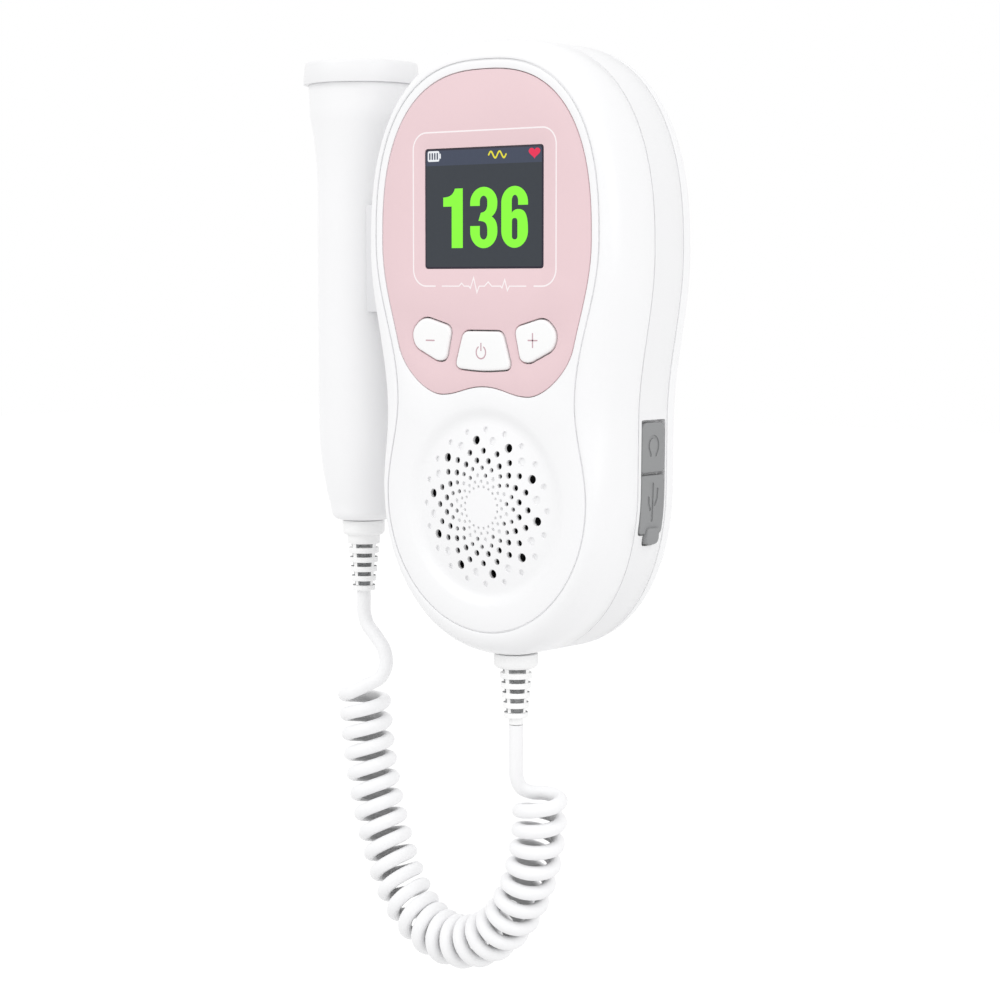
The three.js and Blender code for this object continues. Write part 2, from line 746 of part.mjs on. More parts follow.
function keyCap(key) {
  const cap = prism(roundedPolygon(key.corners, KEY_CORNER), -KEY_PROUD, flangeFront + SEAT_GAP, 3);
  const wide = roundedPolygon(widened(key.corners, KEY_FLANGE), KEY_CORNER);
  const flange = prism(wide, flangeFront, flangeBack, 3);
  const stem = rod(KEY_STEM_RADIUS, flangeFront + SEAT_GAP, stemEnd, ...key.middle);
  return cap.add(flange).add(stem);
}

function keyOpening(key, from, to) {
  return prism(roundedPolygon(widened(key.corners, KEY_GAP), KEY_CORNER), from, to, 3);
}

function plunger(key) {
  return rod(PLUNGER_RADIUS, plungerFront, plungerFront + PLUNGER_LENGTH, ...key.middle);
}

function tactSwitch(key) {
  const half = SWITCH_SIZE / 2;
  const [x, z] = key.middle;
  const body = block([x - half, x + half], [switchFront, switchFront + SWITCH_THICK], [z - half, z + half]);
  const boreEnd = plungerFront + PLUNGER_LENGTH + KEY_TRAVEL + SEAT_GAP;
  return body.subtract(rod(PLUNGER_RADIUS + SEAT_GAP, switchFront - OVERRUN, boreEnd, x, z));
}

// Faceplate
const faceForm = grown(panel, -FACEPLATE_INSET);
const shoulderZ = keyLine + SHOULDER_RISE;
const dishEdgeAtLobe = dishZ + Math.sqrt(DISH_RADIUS ** 2 - LOBE_X ** 2);
const lobeZ = keysBottom + (dishEdgeAtLobe - keysBottom) * LOBE_SHARE;
const notchZ = keysBottom + (dishTop - keysBottom) * NOTCH_SHARE;

function faceplateShape(margin) {
  const form = grown(faceForm, margin);
  const points = outline(form).filter(([x, z]) => x >= 0 && z > shoulderZ);
  const shoulder = new THREE.Vector2(halfWidthAt(form, shoulderZ), shoulderZ);
  const below = shoulderZ - SHOULDER_PULL / 2;
  const way = new THREE.Vector2(halfWidthAt(form, below), below).sub(shoulder);
  const lobe = new THREE.Vector2(LOBE_X, lobeZ - margin);
  const notch = new THREE.Vector2(0, notchZ - margin);
  const hip = new THREE.CubicBezierCurve(
    shoulder,
    shoulder.clone().add(way.setLength(SHOULDER_PULL)),
    new THREE.Vector2(lobe.x + LOBE_PULL, lobe.y),
    lobe,
  );
  const wave = new THREE.CubicBezierCurve(
    lobe,
    new THREE.Vector2(lobe.x - LOBE_PULL, lobe.y),
    new THREE.Vector2(NOTCH_PULL, notch.y),
    notch,
  );
  for (const point of [...hip.getPoints(7), ...wave.getPoints(6).slice(1)]) {
    points.push([point.x, point.y]);
  }
  const left = points.slice(1, -1).reverse().map(([x, z]) => [-x, z]);
  return shapeOf([...points, ...left]);
}

function screenBox(border, from, to) {
  const x = SCREEN_WIDTH / 2 + border;
  const z = SCREEN_HEIGHT / 2 + border;
  return block([-x, x], [from, to], [screenZ - z, screenZ + z]);
}

function faceplate() {
  let plate = prism(faceplateShape(0), 0, FACEPLATE_THICK);
  plate = plate.subtract(screenBox(WINDOW_BORDER + SEAT_GAP, -OVERRUN, FACEPLATE_THICK + OVERRUN));
  for (const key of keys) {
    plate = plate.subtract(keyOpening(key, -OVERRUN, FACEPLATE_THICK + OVERRUN));
  }
  return plate;
}

// Front panel, with the dished grille moulded into it
const HOLE_COUNT = 20;
const holeRings = [
  { radius: BIG_RING, size: BIG_HOLE_RADIUS, count: HOLE_COUNT / 2, startShare: 3 / 2, sides: 6 },
  { radius: OUTER_RING, size: MIDDLE_HOLE_RADIUS, count: HOLE_COUNT, startShare: 0, sides: 5 },
  { radius: SECOND_RING, size: MIDDLE_HOLE_RADIUS, count: HOLE_COUNT, startShare: 1 / 2, sides: 5 },
  { radius: THIRD_RING, size: SMALL_HOLE_RADIUS, count: HOLE_COUNT, startShare: 0, sides: 4 },
  { radius: INNER_RING, size: SMALL_HOLE_RADIUS, count: HOLE_COUNT / 2, startShare: 1 / 2, sides: 4 },
];
const seatDepth = DISH_TROUGH_DEPTH + DISH_THICK;
const DISH_SEGMENTS = 32;
const DOME_STEPS = 6;

function dish() {
  const rise = (r) => (DISH_TROUGH_DEPTH + DOME_PROUD) * (r / DISH_TROUGH_RADIUS) ** 2 - DOME_PROUD;
  const front = [];
  const back = [];
  const seatInner = SPEAKER_RADIUS - GASKET_WIDTH - SEAT_GAP;
  for (let i = 0; i <= DOME_STEPS; i += 1) {
    const r = DISH_TROUGH_RADIUS * i / DOME_STEPS;
    front.push([r, rise(r)]);
    if (r < seatInner) back.push([r, rise(r) + DISH_THICK]);
  }
  const brim = DISH_RADIUS + OVERRUN;
  const profile = [
    ...front,
    [DISH_RADIUS, 0],
    [brim, 0],
    [brim, seatDepth],
    [seatInner, seatDepth],
    ...back.reverse(),
  ];
  const round = turned(profile, DISH_SEGMENTS, 'y').translate([0, 0, dishZ]);
  const within = slab(panel, -DOME_PROUD - OVERRUN, PANEL_THICK);
  const behind = slab(grown(ledgeOpening, -SEAT_GAP), PANEL_THICK / 2, seatDepth + OVERRUN);
  return round.intersect(within.add(behind));
}

function grilleHoles() {
  const holes = [];
  for (const { radius, size, count, startShare, sides } of holeRings) {
    for (let i = 0; i < count; i += 1) {
      const angle = (i / count + startShare / HOLE_COUNT) * FULL_TURN;
      const x = radius * Math.cos(angle);
      const z = dishZ + radius * Math.sin(angle);
      holes.push(rod(size, -DOME_PROUD - OVERRUN, seatDepth + OVERRUN, x, z, sides));
    }
  }
  return holes.reduce((all, hole) => all.add(hole));
}

function frontPanel() {
  const recess = FACEPLATE_THICK + SEAT_GAP;
  let plate = slab(panel, 0, PANEL_THICK);
  plate = plate.subtract(prism(faceplateShape(SEAT_GAP), -OVERRUN, recess));
  plate = plate.subtract(screenBox(GLASS_BORDER + SEAT_GAP, -OVERRUN, PANEL_THICK + OVERRUN));
  for (const key of keys) {
    plate = plate.subtract(keyOpening(key, -OVERRUN, PANEL_THICK + OVERRUN));
  }
  for (const [x, z] of topPosts) {
    plate = plate.add(rod(POST_RADIUS, recess, BOARD_FRONT_DEPTH - SEAT_GAP, x, z));
  }
  for (const [x, z] of boardPosts) {
    plate = plate.add(rod(POST_RADIUS, PANEL_THICK / 2, BOARD_FRONT_DEPTH - SEAT_GAP, x, z));
  }
  for (const [x, z] of lowerPosts) {
    plate = plate.add(rod(POST_RADIUS, PANEL_THICK / 2, towerEnd - SEAT_GAP, x, z));
  }
  for (const [x, z] of [...topPosts, ...lowerPosts, ...boardPosts]) {
    plate = plate.subtract(rod(pilotRadius, screwTip - SEAT_GAP, towerEnd, x, z));
  }
  const speakerRoom = rod(SPEAKER_RADIUS + SEAT_GAP, seatDepth, towerEnd, 0, dishZ, DISH_SEGMENTS);
  plate = plate.subtract(rod(DISH_RADIUS, -OVERRUN, PANEL_THICK + OVERRUN, 0, dishZ, DISH_SEGMENTS));
  return plate.add(dish()).subtract(speakerRoom).subtract(grilleHoles());
}

// Screen
const glassFront = FACEPLATE_THICK + SEAT_GAP;
const glassBack = glassFront + GLASS_THICK;
const frameFront = PANEL_THICK + SEAT_GAP;
const frameBack = frameFront + DISPLAY_FRAME_THICK;

function displayFrame() {
  const frame = screenBox(GLASS_BORDER + DISPLAY_FRAME_BORDER, frameFront, frameBack);
  const pocket = screenBox(GLASS_BORDER + SEAT_GAP, frameFront - OVERRUN, glassBack + SEAT_GAP);
  return frame.subtract(pocket);
}

function displayConnector() {
  const half = CONNECTOR_WIDTH / 2;
  const depths = [frameBack + SEAT_GAP, BOARD_FRONT_DEPTH - SEAT_GAP];
  return block([-half, half], depths, [screenZ - CONNECTOR_HEIGHT, screenZ]);
}

// Circuit board
const boardBottom = keysBottom - BOARD_BELOW_KEYS;

function mainBoard() {
  const sheet = slab(grown(panel, -BOARD_EDGE_INSET), BOARD_FRONT_DEPTH, boardBack);
  const wide = UPPER_LOBE_HALF;
  const keep = block([-wide, wide], [0, BODY_DEPTH], [boardBottom, shell.top]);
  let board = sheet.intersect(keep);
  for (const [x, z] of [...topPosts, ...boardPosts]) {
    board = board.subtract(rod(pilotRadius, 0, BODY_DEPTH, x, z));
  }
  return board.subtract(rod(SPEAKER_RADIUS + RUN_GAP, 0, BODY_DEPTH, 0, dishZ, DISH_SEGMENTS));
}

function chip(x, z, size) {
  const front = boardBack + SEAT_GAP;
  const half = size / 2;
  return block([x - half, x + half], [front, front + CHIP_THICK], [z - half, z + half]);
}

// Loudspeaker
const gasketFront = seatDepth + SEAT_GAP;
const speakerFront = gasketFront + GASKET_THICK + SEAT_GAP;
const speakerBack = speakerFront + BASKET_DEPTH;
const SPEAKER_SEGMENTS = 24;

function speakerPiece(profile) {
  return turned(profile, SPEAKER_SEGMENTS, 'y').translate([0, 0, dishZ]);
}

function gasket() {
  const inner = SPEAKER_RADIUS - GASKET_WIDTH;
  return speakerPiece([
    [inner, gasketFront],
    [SPEAKER_RADIUS, gasketFront],
    [SPEAKER_RADIUS, gasketFront + GASKET_THICK],
    [inner, gasketFront + GASKET_THICK],
  ]);
}

function basket() {
  const flangeEnd = speakerFront + SPEAKER_FLANGE_THICK;
  const inner = SPEAKER_RADIUS - GASKET_WIDTH;
  return speakerPiece([
    [inner, speakerFront],
    [SPEAKER_RADIUS, speakerFront],
    [SPEAKER_RADIUS, flangeEnd],
    [inner + BASKET_WALL, flangeEnd],
    [MAGNET_RADIUS + BASKET_WALL, speakerBack],
    [0, speakerBack],
    [0, speakerBack - BASKET_WALL],
    [MAGNET_RADIUS, speakerBack - BASKET_WALL],
    [inner, flangeEnd],
  ]);
}

function cone() {
  const outer = SPEAKER_RADIUS - GASKET_WIDTH - SEAT_GAP;
  const deep = speakerFront + BASKET_DEPTH / 2;
  return speakerPiece([
    [0, deep - CONE_THICK],
    [DUST_CAP_RADIUS, deep],
    [outer, speakerFront + SPEAKER_FLANGE_THICK / 2],
    [outer, speakerFront + SPEAKER_FLANGE_THICK / 2 + CONE_THICK],
    [DUST_CAP_RADIUS, deep + CONE_THICK],
    [0, deep],
  ]);
}

function magnet() {
  const front = speakerBack + SEAT_GAP;
  return rod(MAGNET_RADIUS, front, front + MAGNET_THICK, 0, dishZ, SPEAKER_SEGMENTS);
}

// Rechargeable cell
const cellTop = topPostZ - TOWER_RADIUS - POST_CLEAR;
const cellBack = BODY_DEPTH - WALL - SEAT_GAP;

function cell() {
  const [half, bottom] = [CELL_WIDTH / 2, cellTop - CELL_HEIGHT];
  const corners = [[-half, bottom], [half, bottom], [half, cellTop], [-half, cellTop]];
  return prism(roundedPolygon(corners, CELL_CORNER), cellBack - CELL_THICK, cellBack);
}

function guardBoard() {
  const half = GUARD_BOARD_WIDTH / 2;
  const top = cellTop - CELL_HEIGHT - SEAT_GAP;
  return block([-half, half], [cellBack - CELL_THICK, cellBack], [top - GUARD_BOARD_HEIGHT, top]);
}

// Sockets and flaps
const jackFront = halfWidthAt(shell, jackZ) - FLAP_THICK - STUB_LENGTH - SEAT_GAP;
const usbFront = halfWidthAt(shell, usbZ) - FLAP_THICK - STUB_LENGTH - SEAT_GAP;
const portBoardRight = portFloor - SEAT_GAP;
const portBoardFront = flapMiddle + JACK_WIDTH / 2 + SEAT_GAP;

function jack() {
  const nose = disc(JACK_NOSE_RADIUS, jackFront - JACK_LENGTH, jackFront, 16)
    .rotate([0, 90, 0]).translate([0, flapMiddle, jackZ]);
  const half = JACK_WIDTH / 2;
  const body = block(
    [jackFront - JACK_LENGTH, portBoardRight],
    [flapMiddle - half, flapMiddle + half],
    [jackZ - half, jackZ + half],
  );
  const bore = disc(JACK_HOLE_RADIUS, jackFront - JACK_LENGTH + USB_WALL, jackFront + OVERRUN, 12)
    .rotate([0, 90, 0]).translate([0, flapMiddle, jackZ]);
  return nose.add(body).subtract(bore);
}

function usbSocket() {
  const [halfWide, halfTall] = [USB_WIDTH / 2, USB_HEIGHT / 2];
  const shellBox = block(
    [usbFront - USB_LENGTH, usbFront],
    [flapMiddle - halfTall, flapMiddle + halfTall],
    [usbZ - halfWide, usbZ + halfWide],
  );
  const foot = block(
    [usbFront - USB_LENGTH, portBoardRight],
    [flapMiddle + halfTall - USB_WALL, portBoardFront - SEAT_GAP],
    [usbZ - halfWide, usbZ + halfWide],
  );
  const mouth = block(
    [usbFront - USB_LENGTH + USB_WALL, usbFront + OVERRUN],
    [flapMiddle - halfTall + USB_WALL, flapMiddle + halfTall - USB_WALL],
    [usbZ - halfWide + USB_WALL, usbZ + halfWide - USB_WALL],
  );
  return shellBox.add(foot).subtract(mouth);
}

function portBoard() {
  const left = portBoardRight - PORT_BOARD_WIDTH;
  const zs = [flapBottom, flapTop];
  return block([left, portBoardRight], [portBoardFront, portBoardFront + PORT_BOARD_THICK], zs);
}

const anchorTop = flapTop - FLAP_THICK / 2;
const anchorRight = halfWidthAt(shell, anchorTop) - FLAP_THICK - SEAT_GAP;

function anchorBox(margin) {
  const half = ANCHOR_WIDTH / 2 + margin;
  return block(
    [anchorRight - ANCHOR_THICK - margin, anchorRight + margin],
    [flapMiddle - half, flapMiddle + half],
    [anchorTop - ANCHOR_HEIGHT - margin, anchorTop + margin],
  );
}

function anchorPocket() {
  return anchorBox(SEAT_GAP);
}

function headphoneFlap() {
  const strip = sideStrip(flapTop, flapSplit + SEAT_GAP, FLAP_THICK, 0);
  const plate = prism(strip, flapStart, flapEnd);
  const stub = disc(STUB_RADIUS, jackFront + SEAT_GAP, jackFront + SEAT_GAP + STUB_LENGTH + OVERRUN, 10)
    .rotate([0, 90, 0]).translate([0, flapMiddle, jackZ]);
  return plate.add(stub);
}

function usbFlap() {
  const strip = sideStrip(flapSplit, flapBottom, FLAP_THICK, 0);
  const plate = prism(strip, flapStart, flapEnd);
  const tabStrip = sideStrip(usbZ, flapBottom - TAB_LENGTH, FLAP_THICK, 0);
  const tab = prism(tabStrip, flapStart + TAB_INSET, flapEnd - TAB_INSET);
  const stub = block(
    [usbFront + SEAT_GAP, usbFront + SEAT_GAP + STUB_LENGTH + OVERRUN],
    [flapMiddle - STUB_RADIUS / 2, flapMiddle + STUB_RADIUS / 2],
    [usbZ - USB_STUB_WIDTH / 2, usbZ + USB_STUB_WIDTH / 2],
  );
  return plate.add(tab).add(stub);
}

// Probe, about its own upright axis
const probeX = -(UPPER_LOBE_HALF + CRADLE_PAD + PROBE_RADIUS);
const probeProfile = [
  [PROBE_NECK_RADIUS, PROBE_TOP_Z],
  [PROBE_SHOULDER_RADIUS, PROBE_SHOULDER_Z],
];
const PROBE_STEPS = 4;
const PROBE_SEGMENTS = 24;
for (let i = 1; i <= PROBE_STEPS; i += 1) {
  const share = i / PROBE_STEPS;
  probeProfile.push([
    PROBE_RADIUS + (PROBE_SHOULDER_RADIUS - PROBE_RADIUS) * (1 - share) ** 2,
    PROBE_SHOULDER_Z + (PROBE_GRIP_TOP_Z - PROBE_SHOULDER_Z) * share,
  ]);
}
for (let i = 0; i <= PROBE_STEPS; i += 1) {
  const share = i / PROBE_STEPS;
  probeProfile.push([
    PROBE_RADIUS + (PROBE_TAIL_RADIUS - PROBE_RADIUS) * share ** 2,
    PROBE_GRIP_BOTTOM_Z + (PROBE_TAIL_Z - PROBE_GRIP_BOTTOM_Z) * share,
  ]);
}

function probeHandle() {
  const bore = BUSHING_NECK_RADIUS + SEAT_GAP;
  const floor = PROBE_END_Z + PROBE_WALL;
  const outer = [...probeProfile, [PROBE_END_RADIUS, PROBE_END_Z], [bore, PROBE_END_Z]];
  const inner = [...probeProfile].reverse().map(([r, z]) => [r - PROBE_WALL, z]);
  return turned([...outer, [bore, floor], [PROBE_END_RADIUS - PROBE_WALL / 2, floor], ...inner],
    PROBE_SEGMENTS);
}

const headBottom = PROBE_TOP_Z + SEAT_GAP;
const headTop = PROBE_TOP_Z + HEAD_HEIGHT;
const wellBottom = headBottom + HEAD_FLOOR;
const headWell = HEAD_TOP_RADIUS - HEAD_LIP;
const spigotRadius = PROBE_NECK_RADIUS - PROBE_WALL - SEAT_GAP * 2;

function probeHead() {
  return turned([
    [0, wellBottom],
    [headWell, wellBottom],
    [headWell, headTop],
    [HEAD_TOP_RADIUS, headTop],
    [HEAD_RADIUS, headBottom],
    [spigotRadius, headBottom],
    [spigotRadius, headBottom - HEAD_SPIGOT],
    [spigotRadius - PROBE_WALL, headBottom - HEAD_SPIGOT],
    [spigotRadius - PROBE_WALL, headBottom],
    [0, headBottom],
  ], PROBE_SEGMENTS);
}

const lensBottom = headTop - LENS_THICK;
const crystalBottom = lensBottom - SEAT_GAP - CRYSTAL_THICK;
const crystalRadius = headWell - CRYSTAL_EDGE;

function lens() {
  return disc(headWell - SEAT_GAP, lensBottom, headTop, PROBE_SEGMENTS);
}

function crystal(side) {
  const half = CRYSTAL_SPLIT / 2;
  const whole = disc(crystalRadius, crystalBottom, crystalBottom + CRYSTAL_THICK);
  const keep = side > 0 ? [half, HEAD_RADIUS] : [-HEAD_RADIUS, -half];
  return whole.intersect(block(keep, [-HEAD_RADIUS, HEAD_RADIUS], [crystalBottom - OVERRUN, headTop]));
}

function backing() {
  return disc(crystalRadius, wellBottom + SEAT_GAP, crystalBottom - SEAT_GAP);
}

function probeBoard() {
  const half = PROBE_BOARD_THICK / 2;
  const reach = Math.sqrt((PROBE_RADIUS - PROBE_WALL) ** 2 - half ** 2) - SEAT_GAP;
  const top = PROBE_GRIP_TOP_Z;
  return block([-reach, reach], [-half, half], [top - PROBE_BOARD_LENGTH, top]);
}

// Parking place of the probe, on the left side of the casing
function cradle() {
  const shape = new THREE.Shape();
  const angle = CRADLE_ANGLE * DEGREE;
  const inner = PROBE_RADIUS + RUN_GAP;
  const outer = inner + CRADLE_ARM;
  const edge = angle + CRADLE_ARM / outer / 2;
  shape.absarc(probeX, PROBE_DEPTH, inner, -angle, angle, false);
  shape.lineTo(probeX + outer * Math.cos(edge), PROBE_DEPTH + outer * Math.sin(edge));
  shape.lineTo(-inside.upperHalf, PROBE_DEPTH + CRADLE_FOOT_HALF);
  shape.lineTo(-inside.upperHalf, PROBE_DEPTH - CRADLE_FOOT_HALF);
  shape.lineTo(probeX + outer * Math.cos(edge), PROBE_DEPTH - outer * Math.sin(edge));
  shape.closePath();
  const saddle = column(shape, CRADLE_BOTTOM_Z, CRADLE_TOP_Z, 10);
  return saddle.subtract(slab(grown(shell, SEAT_GAP), -OVERRUN, BODY_DEPTH));
}

// Strain reliefs, about their own upright axis with the collar's top face at zero
const BUSHING_SEGMENTS = 16;

function ribbedCollar() {
  const taper = (share) => RIB_TOP_RADIUS + (RIB_TIP_RADIUS - RIB_TOP_RADIUS) * share;
  const profile = [[0, 0], [COLLAR_RADIUS, 0], [COLLAR_RADIUS - COLLAR_EDGE, -COLLAR_LENGTH]];
  const pitch = BUSHING_LENGTH / RIB_COUNT;
  for (let i = 0; i < RIB_COUNT; i += 1) {
    const top = -COLLAR_LENGTH - pitch * i;
    const here = taper(i / RIB_COUNT);
    const next = taper((i + 1) / RIB_COUNT);
    profile.push([here - RIB_GROOVE_DEPTH, top]);
    profile.push([here - RIB_GROOVE_DEPTH, top - pitch / 2]);
    profile.push([next, top - pitch / 2]);
    profile.push([next, top - pitch]);
  }
  profile.push([0, -COLLAR_LENGTH - BUSHING_LENGTH]);
  return turned(profile, BUSHING_SEGMENTS);
}

// The collar of the handset's strain relief follows the curve of the casing above it.
function unitBushing() {
  const start = shell.bottom - SEAT_GAP;
  const neckTop = floorAt(inside, BUSHING_FLANGE_RADIUS) + SEAT_GAP;
  const collar = ribbedCollar().translate([0, 0, start]);
  const rim = disc(COLLAR_RADIUS, start - SEAT_GAP, neckTop, BUSHING_SEGMENTS);
  const casing = slab(grown(shell, SEAT_GAP), -BODY_DEPTH, BODY_DEPTH);
  const neck = disc(BUSHING_NECK_RADIUS, start - SEAT_GAP, neckTop, BUSHING_SEGMENTS);
  const flange = disc(BUSHING_FLANGE_RADIUS, neckTop, neckTop + BUSHING_FLANGE_THICK, BUSHING_SEGMENTS);
  return collar.add(rim).subtract(casing).add(neck).add(flange).translate([0, UNIT_CORD_DEPTH, 0]);
}

function probeBushing() {
  const neck = disc(BUSHING_NECK_RADIUS, -SEAT_GAP, PROBE_WALL + SEAT_GAP, BUSHING_SEGMENTS);
  return ribbedCollar().add(neck).translate([0, 0, PROBE_END_Z - SEAT_GAP]);
}

// Cord. It hangs from the handset's strain relief, runs through its curls and rises to the
// probe's. The points are places in the model's own frame, chosen by hand.
const unitLead = [
  [0, -22.5, -91.5],
  [0, -22.5, -95.6],
  [0, -22.5, -100.2],
  [0.1, -22.4, -104.2],
  [0.9, -21.6, -107],
  [2.8, -19.9, -108.2],
  [5.2, -18.3, -108.3],
];
const curlAxis = [
  [7.8, -23, -108.4],
  [7.5, -23, -117.4],
  [4.9, -22.9, -127.9],
  [-0.2, -22.6, -137.9],
  [-8.3, -22.1, -145.5],
  [-19.5, -21.4, -148.9],
  [-30.7, -20.7, -146.2],
  [-38.6, -20.2, -138.3],
  [-43.7, -19.9, -128.4],
  [-48, -19.6, -115.6],
  [-50.8, -19.4, -102.8],
  [-52.5, -19.3, -88.9],
];
const probeLead = [
  [-48.6, -22.9, -86.8],
  [-45.5, -20.8, -84.7],
  [-44.4, -19.8, -81.3],
  [-45.4, -19.5, -77.6],
  [-48.4, -19.3, -74.4],
  [-51.3, -19.2, -71.6],
  [-52.4, -19.2, -68.4],
  [-52.4, -19.2, -65.4],
  [-52.4, -19.2, -62.4],
];

function vectors(points) {
  return points.map((point) => new THREE.Vector3(...point));
}

// A line of points whose bends are spread out, so that the curls don't crowd at any of them.
const EVEN_STEPS = 64;
const EVEN_PASSES = 6;

function evened(points) {
  let line = points;
  for (let pass = 0; pass < EVEN_PASSES; pass += 1) {
    const ahead = line;
    line = ahead.map((point, i) => {
      if (i === 0 || i === ahead.length - 1) return point;
      const around = ahead[i - 1].clone().add(ahead[i + 1]);
      return around.addScaledVector(point, 2).multiplyScalar(1 / 4);
    });
  }
  return line;
}

// The curls start behind their axis and end in front of it, as a right-handed helix.
const START_TURN = 1 / 4;
const END_TURN = 1 / 2;
const AXIS_DIVISIONS = 800;
const LEAD_STEPS = 14;
const TAIL_STEPS = 18;

function curls(steps) {
  const rough = new THREE.CatmullRomCurve3(vectors(curlAxis), false, 'centripetal');
  const places = evened(rough.getSpacedPoints(EVEN_STEPS));
  const axis = new THREE.CatmullRomCurve3(places, false, 'centripetal');
  axis.arcLengthDivisions = AXIS_DIVISIONS;
  const across = new THREE.Vector3(0, 1, 0);
  const points = [];
  const turns = CURLS + END_TURN;
  const count = Math.round(turns * steps);
  for (let i = 0; i <= count; i += 1) {
    const share = i / count;
    const angle = FULL_TURN * (START_TURN + turns * share);
    const along = axis.getTangentAt(share);
    const side = across.clone().cross(along).normalize();
    const back = along.clone().cross(side);
    const point = axis.getPointAt(share);
    point.addScaledVector(side, CURL_RADIUS * Math.cos(angle));
    point.addScaledVector(back, CURL_RADIUS * Math.sin(angle));
    points.push(point);
  }
  return points;
}

function cordPoints(steps) {
  const wound = curls(steps);
  const lead = new THREE.CatmullRomCurve3([...vectors(unitLead), wound[0]]);
  const tail = new THREE.CatmullRomCurve3([wound.at(-1), ...vectors(probeLead)]);
  const before = lead.getSpacedPoints(LEAD_STEPS).slice(0, -1);
  return [...before, ...wound, ...tail.getSpacedPoints(TAIL_STEPS).slice(1)];
}

function tube(points, radius, sides) {
  const rows = [];
  let normal = new THREE.Vector3(1, 0, 0);
  points.forEach((point, i) => {
    const before = points[Math.max(i - 1, 0)];
    const after = points[Math.min(i + 1, points.length - 1)];
    const along = after.clone().sub(before).normalize();
    normal.addScaledVector(along, -normal.dot(along)).normalize();
    const other = along.clone().cross(normal);
    const row = [];
    for (let k = 0; k < sides; k += 1) {
      const angle = FULL_TURN * k / sides;
      const place = point.clone().addScaledVector(normal, radius * Math.cos(angle));
      row.push(place.addScaledVector(other, radius * Math.sin(angle)).toArray());
    }
    rows.push(row);
    normal = normal.clone();
  });
  const positions = rows.flat(2);
  const index = [];
  for (let r = 0; r + 1 < rows.length; r += 1) {
    for (let k = 0; k < sides; k += 1) {
      const next = (k + 1) % sides;
      const [a, b] = [r * sides + k, r * sides + next];
      index.push(a, b, b + sides, a, b + sides, a + sides);
    }
  }
  const last = (rows.length - 1) * sides;
  for (let k = 1; k + 1 < sides; k += 1) {
    index.push(0, k + 1, k, last, last + k, last + k + 1);
  }
  const geometry = new THREE.BufferGeometry();
  geometry.setAttribute('position', new THREE.Float32BufferAttribute(positions, 3));
  geometry.setIndex(index);
  return solidOf(geometry);
}

// The least gap between stretches that lie more than a few diameters apart along the cord.
const APART_DIAMETERS = 4;
const FINE_STEPS = 4 * CURL_STEPS;

function leastGap(points, diameter) {
  const ways = [0];
  for (let i = 1; i < points.length; i += 1) {
    ways.push(ways[i - 1] + points[i].distanceTo(points[i - 1]));
  }
  let least = Infinity;
  for (let i = 0; i < points.length; i += 1) {
    for (let j = i + 1; j < points.length; j += 1) {
      if (ways[j] - ways[i] > APART_DIAMETERS * diameter) {
        least = Math.min(least, points[i].distanceTo(points[j]) - diameter);
      }
    }
  }
  return { least, length: ways.at(-1) };
}

const fine = leastGap(cordPoints(FINE_STEPS), CORD_DIAMETER);
console.log(`cord: length ${fine.length.toFixed(0)} mm, least gap to itself ${fine.least.toFixed(2)} mm`);

// Finishes
const WHITE = 0xf7f7f8;
const SOFT_WHITE = 0xf1f1f2;
const ROSE = 0xecd0d5;
const GREY_RUBBER = 0x979899;
const INK = 0x484c56;
const BOARD_GREEN = 0x2c6a45;
const STEEL = 0xb9bcc0;
const DARK = 0x2b2d30;
const PAPER = 0xd8d2bf;
const CELL_SILVER = 0xa9b0b8;
const AMBER = 0xb4773a;
const CERAMIC = 0xd9c9a3;

function finished(name, solid, color, roughness, metalness = 0) {
  const material = new THREE.MeshStandardMaterial({ color, roughness, metalness });
  const mesh = new THREE.Mesh(geometryOf(solid), material);
  mesh.name = name;
  return mesh;
}

const handset = new THREE.Group();
handset.position.set(0, -BODY_DEPTH, 0);
handset.add(
  finished('front_shell', frontShell(), WHITE, 0.35),
  finished('mid_frame', midFrame(), SOFT_WHITE, 0.4),
  finished('rear_shell', rearShell(), WHITE, 0.35),
  finished('front_panel', frontPanel(), WHITE, 0.3),
  finished('faceplate', faceplate(), ROSE, 0.45),
  finished('display_window', screenBox(WINDOW_BORDER, 0, WINDOW_THICK), DARK, 0.05),
  finished('display_glass', screenBox(GLASS_BORDER, glassFront, glassBack), INK, 0.1),
  finished('display_frame', displayFrame(), STEEL, 0.4, 0.9),
  finished('display_connector', displayConnector(), AMBER, 0.5),
  finished('main_board', mainBoard(), BOARD_GREEN, 0.5),
  finished('processor_chip', chip(0, screenZ, PROCESSOR_CHIP_SIZE), DARK, 0.4),
  finished('audio_chip', chip(0, powerMiddle, AUDIO_CHIP_SIZE), DARK, 0.4),
  finished('speaker_gasket', gasket(), DARK, 0.9),
  finished('speaker_basket', basket(), STEEL, 0.4, 0.9),
  finished('speaker_cone', cone(), DARK, 0.8),
  finished('speaker_magnet', magnet(), STEEL, 0.3, 1),
  finished('battery_cell', cell(), CELL_SILVER, 0.5),
  finished('battery_guard_board', guardBoard(), BOARD_GREEN, 0.5),
  finished('headphone_jack', jack(), DARK, 0.4),
  finished('usb_socket', usbSocket(), STEEL, 0.3, 1),
  finished('port_board', portBoard(), BOARD_GREEN, 0.5),
  finished('flap_anchor', anchorBox(0), GREY_RUBBER, 0.7),
  finished('headphone_flap', headphoneFlap(), GREY_RUBBER, 0.7),
  finished('usb_flap', usbFlap(), GREY_RUBBER, 0.7),
  finished('probe_cradle', cradle(), WHITE, 0.35),
  finished('cord_bushing_unit', unitBushing(), SOFT_WHITE, 0.5),
);
